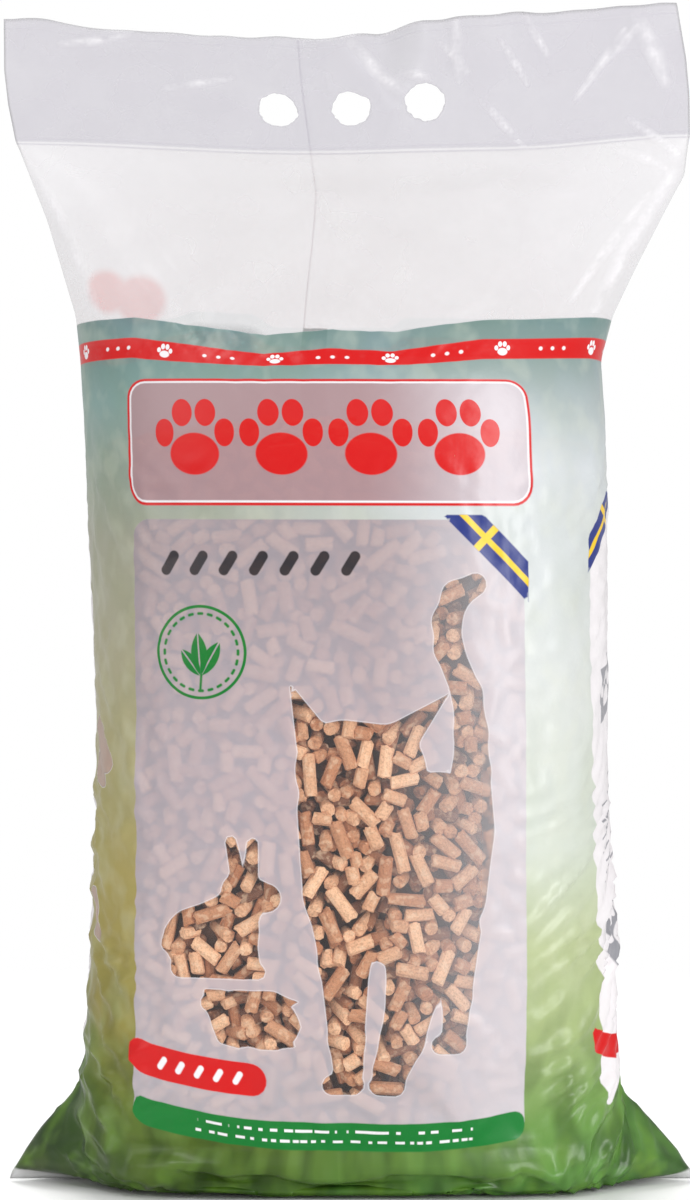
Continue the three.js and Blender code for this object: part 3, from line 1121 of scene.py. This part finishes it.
def addNode(tree, kind, sockets=(), **settings):
    node = tree.nodes.new(kind)
    for name, value in settings.items():
        setattr(node, name, value)
    for key, value in dict(sockets).items():
        if isinstance(value, bpy.types.NodeSocket):
            tree.links.new(value, node.inputs[key])
        else:
            node.inputs[key].default_value = value
    return node


def maths(tree, operation, a, b=0.0, c=0.0):
    return addNode(tree, "ShaderNodeMath", {0: a, 1: b, 2: c}, operation=operation).outputs[0]


def plus(tree, a, b):
    return maths(tree, "ADD", a, b)


def minus(tree, a, b):
    return maths(tree, "SUBTRACT", a, b)


def times(tree, a, b):
    return maths(tree, "MULTIPLY", a, b)


def absolute(tree, a):
    return maths(tree, "ABSOLUTE", a)


def vectors(tree, operation, a, b=(0, 0, 0)):
    node = addNode(tree, "ShaderNodeVectorMath", {0: a, 1: b}, operation=operation)
    return node.outputs["Value"] if operation == "LENGTH" else node.outputs["Vector"]


def below(tree, value, limit, soft=0.35):
    # 1 where the value is under the limit, 0 over it, with a soft edge
    return addNode(
        tree, "ShaderNodeMapRange", {"Value": value, "From Min": limit + soft, "From Max": limit - soft}
    ).outputs[0]


def both(tree, first, *others):
    for mask in others:
        first = times(tree, first, mask)
    return first


def field(tree, name):
    return addNode(tree, "ShaderNodeAttribute", attribute_name=name).outputs["Fac"]


def blend(tree, share, first, second):
    node = addNode(tree, "ShaderNodeMix", {"Factor": share, 6: first, 7: second}, data_type="RGBA")
    return node.outputs[2]


def blendNumber(tree, share, first, second):
    node = addNode(tree, "ShaderNodeMix", {"Factor": share, 2: first, 3: second}, data_type="FLOAT")
    return node.outputs[0]


def ramp(tree, value, stops):
    # colours by height along the film
    node = addNode(tree, "ShaderNodeValToRGB", {"Fac": maths(tree, "DIVIDE", value, tubeLength())})
    elements = node.color_ramp.elements
    while len(elements) < len(stops):
        elements.new(0.5)
    for element, (place, colour) in zip(elements, stops):
        element.position = place / tubeLength()
        element.color = linear(colour)
    return node.outputs["Color"]


def noiseOf(tree, place, scale, detail=2, tall=1):
    # a soft pattern on the flat film, longer up the film where tall is under 1
    stretched = vectors(tree, "MULTIPLY", place, (1, tall, 1)) if tall != 1 else place
    sockets = {"Vector": stretched, "Scale": scale, "Detail": detail}
    return addNode(tree, "ShaderNodeTexNoise", sockets, noise_dimensions="2D").outputs["Fac"]


def joined(tree, x, y):
    return addNode(tree, "ShaderNodeCombineXYZ", {0: x, 1: y}).outputs[0]


def mapped(tree, value, low, high, kind="LINEAR"):
    # 0 at low and 1 at high
    sockets = {"Value": value, "From Min": low, "From Max": high}
    return addNode(tree, "ShaderNodeMapRange", sockets, interpolation_type=kind).outputs[0]


def pawMask(tree, place, size, soft=0.06):
    pads = [((0, -0.22), (0.36, 0.29)), ((-0.44, 0.08), (0.14, 0.2)), ((-0.17, 0.38), (0.15, 0.22)),
            ((0.17, 0.38), (0.15, 0.22)), ((0.44, 0.08), (0.14, 0.2))]
    nearest = None
    for (x, y), (wide, high) in pads:
        away = vectors(tree, "SUBTRACT", place, (x * size, y * size, 0))
        away = vectors(tree, "MULTIPLY", away, (1 / (wide * size), 1 / (high * size), 0))
        away = vectors(tree, "LENGTH", away)
        nearest = away if nearest is None else maths(tree, "MINIMUM", nearest, away)
    return below(tree, nearest, 1, soft)


def repeated(tree, value, first, spacing):
    # the distance to the nearest of a row of places
    shifted = plus(tree, value, spacing / 2 - first)
    return minus(tree, maths(tree, "FLOORED_MODULO", shifted, spacing), spacing / 2)


def rodMask(tree, x, y, half, radius, angle=0.0):
    c, s = math.cos(angle), math.sin(angle)
    u = plus(tree, times(tree, x, c), times(tree, y, s))
    v = minus(tree, times(tree, y, c), times(tree, x, s))
    over = maths(tree, "MAXIMUM", minus(tree, absolute(tree, u), half), 0)
    away = vectors(tree, "LENGTH", joined(tree, over, v))
    return below(tree, away, radius)


def within(tree, value, low, high, soft=0.35):
    middle, half = (low + high) / 2, (high - low) / 2
    return below(tree, absolute(tree, minus(tree, value, middle)), half, soft)


def linesMask(tree, x, y, spacing, thick, fill, seed):
    # rows of short dashes, with gaps of all lengths
    row = maths(tree, "FLOOR", maths(tree, "DIVIDE", y, spacing))
    off = minus(tree, maths(tree, "FLOORED_MODULO", y, spacing), spacing / 2)
    place = joined(tree, maths(tree, "MULTIPLY_ADD", x, 0.22, seed * 31), times(tree, row, 7.3))
    dashes = noiseOf(tree, place, 1, 0)
    line = below(tree, absolute(tree, off), thick / 2, 0.25)
    return both(tree, line, below(tree, dashes, fill, 0.02))


def leafMask(tree, x, y, angle, long=21.0, wide=9.5):
    radius = (long * long + wide * wide) / (4 * wide)
    c, s = math.cos(angle), math.sin(angle)
    u = plus(tree, times(tree, x, c), times(tree, y, s))
    v = minus(tree, times(tree, y, c), times(tree, x, s))
    v = minus(tree, v, long / 2)
    sides = []
    for side in (-1, 1):
        shifted = plus(tree, u, side * (radius - wide / 2))
        sides.append(vectors(tree, "LENGTH", joined(tree, shifted, v)))
    blade = below(tree, maths(tree, "MAXIMUM", *sides), radius, 0.3)
    rib = below(tree, absolute(tree, u), 0.35, 0.2)
    return both(tree, blade, minus(tree, 1, rib))


def startFilm(name):
    # a finish to be printed layer by layer, with the place on the flat film in millimetres
    material = bpy.data.materials.new(name)
    material.use_nodes = True
    tree = material.node_tree
    flat = addNode(tree, "ShaderNodeUVMap", uv_map="OFBake").outputs[0]
    parts = addNode(tree, "ShaderNodeSeparateXYZ", {0: flat})
    x = maths(tree, "MULTIPLY_ADD", parts.outputs["X"], 2 * filmBag["flatWidth"], firstAround())
    y = times(tree, parts.outputs["Y"], tubeLength())
    place = addNode(tree, "ShaderNodeCombineXYZ", {0: x, 1: y}).outputs[0]
    clear = maths(tree, "MULTIPLY_ADD", noiseOf(tree, place, 0.03), 0.12, 0.27)
    return {"material": material, "tree": tree, "x": x, "y": y, "place": place,
            "clear": clear, "colour": linear(inks["clear"]), "solid": clear}


def layer(film, mask, ink, solid=None):
    # prints an ink where the mask is 1, and makes the film there more or less solid
    colour = linear(inks[ink]) if isinstance(ink, str) else ink
    film["colour"] = blend(film["tree"], mask, film["colour"], colour)
    if solid is not None:
        film["solid"] = blendNumber(film["tree"], mask, film["solid"], solid)


def finishFilm(film):
    tree = film["tree"]
    shader = tree.nodes["Principled BSDF"]
    crinkle = noiseOf(tree, film["place"], 0.1)
    bump = addNode(tree, "ShaderNodeBump", {"Height": crinkle, "Strength": 0.3, "Distance": 0.6 * mm})
    tree.links.new(bump.outputs[0], shader.inputs["Normal"])
    tree.links.new(film["colour"], shader.inputs["Base Color"])
    tree.links.new(film["solid"], shader.inputs["Alpha"])
    shader.inputs["Roughness"].default_value = 0.3
    shader.inputs["IOR"].default_value = 1.5
    shader.inputs["Specular IOR Level"].default_value = 0.34
    return film["material"]


def printMeadow(film):
    # hazy above, grass at the foot, darker on the left of each face: the print, with painted shade on the
    # left and painted light on the right
    tree, x, y, place = film["tree"], film["x"], film["y"], film["place"]
    half = filmBag["flatWidth"] / 2
    wrapped = maths(tree, "FLOORED_MODULO", plus(tree, x, half), 4 * half)
    across = minus(tree, half, absolute(tree, minus(tree, wrapped, 2 * half)))
    # from the painted shade on the left of each face to the painted light on its right
    share = mapped(tree, across, -90, 95, "SMOOTHSTEP")
    colour = blend(tree, share, ramp(tree, y, meadow["left"]), ramp(tree, y, meadow["right"]))
    haze = noiseOf(tree, place, 0.022, 2, 0.6)
    blotch = noiseOf(tree, place, 0.06, 2, 0.7)
    grass = noiseOf(tree, place, 0.075, 1, 0.55)
    above = mapped(tree, y, 60, 190)
    low = minus(tree, 1, above)
    for mask, ink in (
        (times(tree, below(tree, haze, 0.5, 0.14), 0.14), "moss"),
        (both(tree, above, below(tree, blotch, 0.42, 0.1), 0.13), "mist"),
        (both(tree, low, below(tree, grass, 0.47, 0.14), 0.6), "shade"),
        (both(tree, low, below(tree, blotch, 0.4, 0.12), 0.5), "blade"),
    ):
        colour = blend(tree, mask, colour, linear(inks[ink]))
    film["colour"] = colour
    film["solid"] = maths(tree, "MULTIPLY_ADD", blotch, 0.06, 0.88)


def printRedBand(film):
    # the band at the top with its paws and dots
    tree, x = film["tree"], film["x"]
    red = printing["redBand"]
    across = maths(tree, "MULTIPLY_ADD", field(tree, "clearFrom"), -1, red["below"] + red["high"] / 2)
    layer(film, below(tree, field(tree, "redBand"), 0), "red", 0.96)
    paws, dots = printing["bandPaws"], printing["bandDots"]
    pawX = repeated(tree, x, paws["first"], paws["spacing"])
    layer(film, pawMask(tree, joined(tree, pawX, across), paws["size"], 0.12), "white")
    between = repeated(tree, x, dots["first"], paws["spacing"])
    dot = rodMask(tree, repeated(tree, between, 0, dots["spacing"]), across, 0.0, dots["radius"])
    layer(film, both(tree, dot, below(tree, absolute(tree, between), dots["reach"])), "white")


def printNamePanel(film, sheenTowardsRight):
    tree, x, y = film["tree"], film["x"], film["y"]
    edge = field(tree, "namePanel")
    # painted sheen: the name panel turns paler towards the right
    ink = blend(tree, sheenTowardsRight, linear(inks["nameLavender"]), linear(inks["nameSheen"]))
    layer(film, below(tree, edge, 0), ink, 0.86)
    layer(film, within(tree, edge, -1.5, 0), "red", 0.95)
    layer(film, within(tree, edge, -2.5, -1.5), "white", 0.93)
    paws = printing["namePaws"]
    place = joined(tree, repeated(tree, x, paws["first"], paws["spacing"]), minus(tree, y, paws["along"]))
    prints = pawMask(tree, place, paws["size"], 0.03)
    layer(film, both(tree, prints, within(tree, x, paws["left"], paws["right"])), "red", 0.95)


def slantedMarks(film, name, along):
    # a row of slanted capsules between two places
    tree, row = film["tree"], printing[name]
    markX = repeated(tree, film["x"], row["first"], row["spacing"])
    markY = minus(tree, along, row["along"])
    marks = rodMask(tree, markX, markY, row["half"], row["radius"], math.radians(row["slant"]))
    return both(tree, marks, within(tree, film["x"], row["left"], row["right"]))


def printMainPanel(film, sheenTowardsRight):
    # the pale panel over the pellets, with a row of slanted marks and a round seal of leaves
    tree, x, y = film["tree"], film["x"], film["y"]
    ink = blend(tree, mapped(tree, y, 290, 400), linear(inks["lavender"]), linear(inks["lavenderTop"]))
    foot = times(tree, mapped(tree, y, 260, 130), 0.5)
    ink = blend(tree, foot, ink, linear(inks["lavenderPale"]))
    # painted sheen: the panel turns paler and more solid towards the right
    ink = blend(tree, sheenTowardsRight, ink, linear(inks["lavenderPale"]))
    solid = maths(tree, "MULTIPLY_ADD", sheenTowardsRight, 0.14, 0.64)
    layer(film, below(tree, field(tree, "mainPanel"), 0), ink, solid)
    layer(film, slantedMarks(film, "headingMarks", y), "charcoal", 0.93)
    seal = printing["seal"]
    beadRing = seal["beadRing"]
    sealX, sealY = minus(tree, x, seal["across"]), minus(tree, y, seal["along"])
    fromSeal = vectors(tree, "LENGTH", joined(tree, sealX, sealY))
    layer(film, within(tree, fromSeal, seal["inner"], seal["outer"], 0.25), "green", 0.93)
    turn = times(tree, maths(tree, "ARCTAN2", sealY, sealX), beadRing)
    beadX = repeated(tree, turn, 0, beadRing * 2 * math.pi / seal["beads"])
    layer(film, rodMask(tree, beadX, minus(tree, fromSeal, beadRing), 0.9, 0.8), "green", 0.93)
    stemY = plus(tree, sealY, 12)
    for tilt, long in ((38, 17.0), (-30, 20.0), (4, 22.0)):
        layer(film, leafMask(tree, sealX, stemY, math.radians(tilt), long, long * 0.4), "green", 0.93)
    layer(film, rodMask(tree, sealX, plus(tree, stemY, 3), 3.5, 0.7, math.radians(86)), "green", 0.93)


def printFoot(film):
    # the curved green band and the red tab over it
    tree, x, y = film["tree"], film["x"], film["y"]
    smile = printing["smile"]
    bent = maths(tree, "POWER", absolute(tree, minus(tree, x, smile["middle"])), 2)
    over = maths(tree, "MULTIPLY_ADD", bent, -smile["bend"], minus(tree, y, smile["low"]))
    layer(film, below(tree, field(tree, "greenBand"), 0), "green", 0.98)
    dashes = linesMask(tree, x, plus(tree, over, 5.2), 5.2, 1.4, 0.52, 3)
    layer(film, both(tree, dashes, within(tree, x, -80, 62), within(tree, over, -5.2, 5.2)), "white")
    layer(film, below(tree, field(tree, "redTab"), 0), "red", 0.97)
    layer(film, slantedMarks(film, "tabMarks", over), "white")


def printRibbon(film, name, along, across):
    # a blue ribbon with a yellow stripe and one bar, at 45 degrees over a panel's corner
    tree, cross = film["tree"], printing[name]["cross"]
    middle = (printing[name]["inner"] + printing[name]["outer"]) / 2
    cloth = below(tree, field(tree, name), 0)
    layer(film, cloth, "blue", 0.97)
    stripe = within(tree, maths(tree, "DIVIDE", across, math.sqrt(2)), middle - 1.5, middle + 1.5)
    bar = within(tree, maths(tree, "DIVIDE", along, math.sqrt(2)), cross - 1.9, cross + 1.9)
    layer(film, both(tree, cloth, maths(tree, "MAXIMUM", stripe, bar)), "yellow")


def leaveWindows(film):
    # the clear animals in the panel, whitened towards the right by a painted sheen
    tree, x = film["tree"], film["x"]
    windows = field(tree, "windows")
    opening = below(tree, windows, 0)
    layer(film, within(tree, windows, 0, 0.4, 0.25), "white", 0.8)
    # painted sheen: the film over the windows is made whiter and more solid from x 10 to 75
    layer(film, opening, "clear", maths(tree, "MULTIPLY_ADD", mapped(tree, x, 10, 75), 0.3, 0.06))
    layer(film, both(tree, opening, below(tree, x, -130)), "hazyWood", 0.6)


def printBackPanels(film):
    # plain panels with rows of dashes and squares
    tree, x, y = film["tree"], film["x"], film["y"]
    for name, low, high, seed in (("secondPanel", -308, -190, 5), ("infoPanel", 200, 318, 9)):
        layer(film, below(tree, field(tree, name), 0), "panelWhite", 0.93)
        rows = linesMask(tree, x, y, 7.2, 1.5, 0.5, seed)
        layer(film, both(tree, rows, within(tree, x, low, high), within(tree, y, 150, 392)), "grey")
    rows = linesMask(tree, x, y, 4.6, 0.9, 0.55, 2)
    layer(film, both(tree, rows, within(tree, x, 149, 188), within(tree, y, 212, 258)), "grey")
    squareX, squareY = minus(tree, x, 165), repeated(tree, y, 178, 136)
    column = both(tree, within(tree, y, 150, 336), within(tree, x, 148, 184))
    layer(film, both(tree, within(tree, squareX, -13, 13), within(tree, squareY, -15, 15), column), "grey")
    layer(film, both(tree, pawMask(tree, joined(tree, squareX, squareY), 19, 0.05), column), "panelWhite")
    layer(film, below(tree, field(tree, "infoTab"), 0), "red", 0.96)


def printEdges(film):
    # where the print ends: bare film above it, a white line along the bottom weld
    tree = film["tree"]
    layer(film, below(tree, field(tree, "clearFrom"), 0, 0.3), "clear", film["clear"])
    layer(film, both(tree, below(tree, film["y"], 7.5, 1), 0.6), "white", 0.9)


def frontFilm():
    film = startFilm("frontFilm")
    tree, x, y = film["tree"], film["x"], film["y"]
    # painted sheen: the name panel and the main panel turn paler, and the main panel less see-through,
    # towards the right, where the key lamp shines on the film
    sheenTowardsRight = mapped(tree, x, 5, 84, "SMOOTHSTEP")
    printMeadow(film)
    printRedBand(film)
    printNamePanel(film, sheenTowardsRight)
    printMainPanel(film, sheenTowardsRight)
    printFoot(film)
    printRibbon(film, "ribbon", minus(tree, x, y), plus(tree, x, y))
    leaveWindows(film)
    printEdges(film)
    return finishFilm(film)


def backFilm():
    film = startFilm("backFilm")
    tree, x, y = film["tree"], film["x"], film["y"]
    printMeadow(film)
    printRedBand(film)
    printBackPanels(film)
    printRibbon(film, "backRibbon", plus(tree, x, y), minus(tree, y, x))
    # the print of the back thins out at its top edge
    onBack = minus(tree, 1, below(tree, absolute(tree, x), 180, 2))
    thin = both(tree, onBack, below(tree, field(tree, "clearFrom"), 11, 5))
    film["solid"] = blendNumber(tree, thin, film["solid"], 0.3)
    printEdges(film)
    layer(film, below(tree, field(tree, "spots"), 0, 2.5), "salmon", 0.5)
    return finishFilm(film)


def clearFilm():
    # the film above the print: clear, then the header, which is a little milky
    film = startFilm("clearFilm")
    tree, y, place = film["tree"], film["y"], film["place"]
    milky = plus(tree, film["clear"], 0.055)
    layer(film, minus(tree, 1, below(tree, y, filmBag["weldAt"], 0.5)), "header", milky)
    layer(film, below(tree, field(tree, "spots"), 0, 2.5), "salmon", 0.5)
    fromWeld = absolute(tree, minus(tree, y, filmBag["weldAt"]))
    layer(film, within(tree, fromWeld, 1.3, 2.2, 0.4), "header", 0.44)
    layer(film, within(tree, y, 696.9, 697.4, 0.4), "header", 0.44)
    scratchy = noiseOf(tree, place, 0.09)
    crease = below(tree, field(tree, "creases"), 0.62, 0.5)
    # white along the creases: partly the whitening of creased film, partly a painted highlight
    creaseWhiteningAndHighlight = both(tree, crease, below(tree, scratchy, 0.56, 0.2), 0.95)
    layer(film, creaseWhiteningAndHighlight, "white", 0.7)
    return finishFilm(film)


def lapFilm():
    # the lap weld shows through the clear film only by its free edge
    film = startFilm("lapFilm")
    tree = film["tree"]
    printMeadow(film)
    printRedBand(film)
    bare = below(tree, field(tree, "clearFrom"), 0, 0.3)
    layer(film, bare, "clear", 0.03)
    layer(film, both(tree, bare, minus(tree, 1, below(tree, film["x"], 379.1, 0.2))), "white", 0.6)
    return finishFilm(film)


def grainOf(tree, scale, detail, rough=0.5):
    # a fine pattern through the pellets themselves
    place = addNode(tree, "ShaderNodeTexCoord").outputs["Object"]
    sockets = {"Vector": place, "Scale": scale, "Detail": detail, "Roughness": rough}
    return addNode(tree, "ShaderNodeTexNoise", sockets).outputs["Fac"]


def pressedWood():
    material = bpy.data.materials.new("pressedWood")
    material.use_nodes = True
    tree = material.node_tree
    shader = tree.nodes["Principled BSDF"]
    toneAndShade = field(tree, "toneAndShade")
    # tones below 0.35 are the inner layer's painted shade, the rest the pellets' own tones
    colour = blend(tree, mapped(tree, toneAndShade, 0, 0.35), linear((98, 60, 40)), linear((184, 123, 84)))
    colour = blend(tree, mapped(tree, toneAndShade, 0.35, 1), colour, linear((242, 194, 154)))
    fibres = grainOf(tree, 900, 3, 0.65)
    patches = grainOf(tree, 260, 2)
    dark = times(tree, below(tree, fibres, 0.46, 0.08), 0.36)
    pale = times(tree, below(tree, patches, 0.42, 0.06), 0.35)
    colour = blend(tree, dark, colour, linear((118, 76, 48)))
    colour = blend(tree, pale, colour, linear((236, 208, 176)))
    bump = addNode(tree, "ShaderNodeBump", {"Height": fibres, "Strength": 0.6, "Distance": 0.4 * mm})
    tree.links.new(bump.outputs[0], shader.inputs["Normal"])
    tree.links.new(colour, shader.inputs["Base Color"])
    shader.inputs["Roughness"].default_value = 0.85
    return material


def deepWoodPaintedShade():
    material = bpy.data.materials.new("deepWoodPaintedShade")
    material.use_nodes = True
    tree = material.node_tree
    shader = tree.nodes["Principled BSDF"]
    # painted shade: the deep pellets are dark brown
    colour = blend(tree, grainOf(tree, 220, 2), linear((66, 44, 32)), linear((128, 94, 70)))
    tree.links.new(colour, shader.inputs["Base Color"])
    shader.inputs["Roughness"].default_value = 0.9
    return material


# The studio: a pale floor, soft lamps and the camera, in metres and watts

camera = {"away": 2.0, "height": 0.35, "aim": 0.305, "sees": 0.628, "side": 0}
lamps = {
    "key": {"place": (1.18, -1.5, 0.62), "wide": 0.45, "high": 1.3, "power": 21},
    "fill": {"place": (-1.7, -1.5, 0.9), "wide": 1.4, "high": 1.4, "power": 9},
    "streak": {"place": (-1.0, -1.6, 2.2), "wide": 0.5, "high": 0.5, "power": 9},
    "back": {"place": (-0.2, 1.5, 1.9), "wide": 1.2, "high": 1.2, "power": 34},
}


def makeStage():
    floorShape = bmesh.new()
    bmesh.ops.create_circle(floorShape, cap_ends=True, segments=64, radius=8)
    floor = addPiece("floor", floorShape)
    material = bpy.data.materials.new("paleFloor")
    material.use_nodes = True
    shader = material.node_tree.nodes["Principled BSDF"]
    shader.inputs["Base Color"].default_value = (0.9, 0.9, 0.9, 1)
    shader.inputs["Roughness"].default_value = 0.7
    floorTree = material.node_tree
    place = addNode(floorTree, "ShaderNodeTexCoord").outputs["Object"]
    fade = mapped(floorTree, vectors(floorTree, "LENGTH", place), 0.95, 0.35)
    floorTree.links.new(fade, shader.inputs["Alpha"])
    floor.data.materials.append(material)

    world = bpy.data.worlds.new("studio")
    bpy.context.scene.world = world
    world.use_nodes = True
    tree = world.node_tree
    seen = addNode(tree, "ShaderNodeLightPath").outputs["Is Camera Ray"]
    strength = blendNumber(tree, seen, 0.62, 1.0)
    tree.nodes["Background"].inputs["Color"].default_value = (1, 1, 1, 1)
    tree.links.new(strength, tree.nodes["Background"].inputs["Strength"])
    bpy.context.scene.view_settings.view_transform = "Standard"

    for name, lamp in lamps.items():
        light = bpy.data.lights.new(name, "AREA")
        light.shape = "RECTANGLE"
        light.energy, light.size, light.size_y = lamp["power"], lamp["wide"], lamp["high"]
        holder = bpy.data.objects.new(name, light)
        holder.location = lamp["place"]
        facing = Vector((0, 0, 0.3)) - Vector(lamp["place"])
        holder.rotation_euler = facing.to_track_quat("-Z", "Y").to_euler()
        bpy.context.scene.collection.objects.link(holder)

    eye = bpy.data.objects.new("camera", bpy.data.cameras.new("camera"))
    bpy.context.scene.collection.objects.link(eye)
    eye.location = (camera["side"], -camera["away"], camera["height"])
    aim = Vector((camera["side"], 0, camera["aim"]))
    eye.rotation_euler = (aim - eye.location).to_track_quat("-Z", "Y").to_euler()
    eye.data.sensor_fit = "VERTICAL"
    eye.data.angle = 2 * math.atan(camera["sees"] / 2 / (aim - eye.location).length)
    bpy.context.scene.camera = eye


def dress(piece, slot, *finishes, smooth=True):
    for face in piece.data.polygons:
        face.use_smooth = smooth
    for finish in finishes:
        piece.data.materials.append(finish)
    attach(piece, "root")


makeStage()
print("stage set")
rows, across, shape = tubeShape()
around, across, onFront = aroundOf(filmBag["columns"])
points = buckled(rows, across, shape)
cut = buckled(rows, across, shape, buckles["slack"])
helpers = [makeSupport(), makeGround()]
points = settleFilm(rows, points, cut)
for helper in helpers:
    bpy.data.objects.remove(helper)
print("film settled")
points[1:, :, 2] = np.maximum(points[1:, :, 2], 0.6)
points = crinkled(rows, around, across, onFront, points)
points = doubled(points, closed=False)
points = np.swapaxes(doubled(np.swapaxes(points, 0, 1), closed=True), 0, 1)
points = wrinkled(points)
surface = surfaceOf(points)
fills, pressed = makeFill(surface)
print("pellets laid:", {name: len(piece.data.polygons) for name, piece in fills.items()})
film = makeFilm(surface, pressed)
lapWeld = makeLapWeld(surface)
core = makeCore()
print("film made:", len(film.data.polygons), "faces")

dress(film, "film", frontFilm(), backFilm(), clearFilm())
dress(lapWeld, "film", lapFilm())
dress(core, "pellets", deepWoodPaintedShade())
wood = pressedWood()
for piece in fills.values():
    dress(piece, "pellets", wood, smooth=False)
print("finishes on")
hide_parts("film_bag")
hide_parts("pellet_fill")
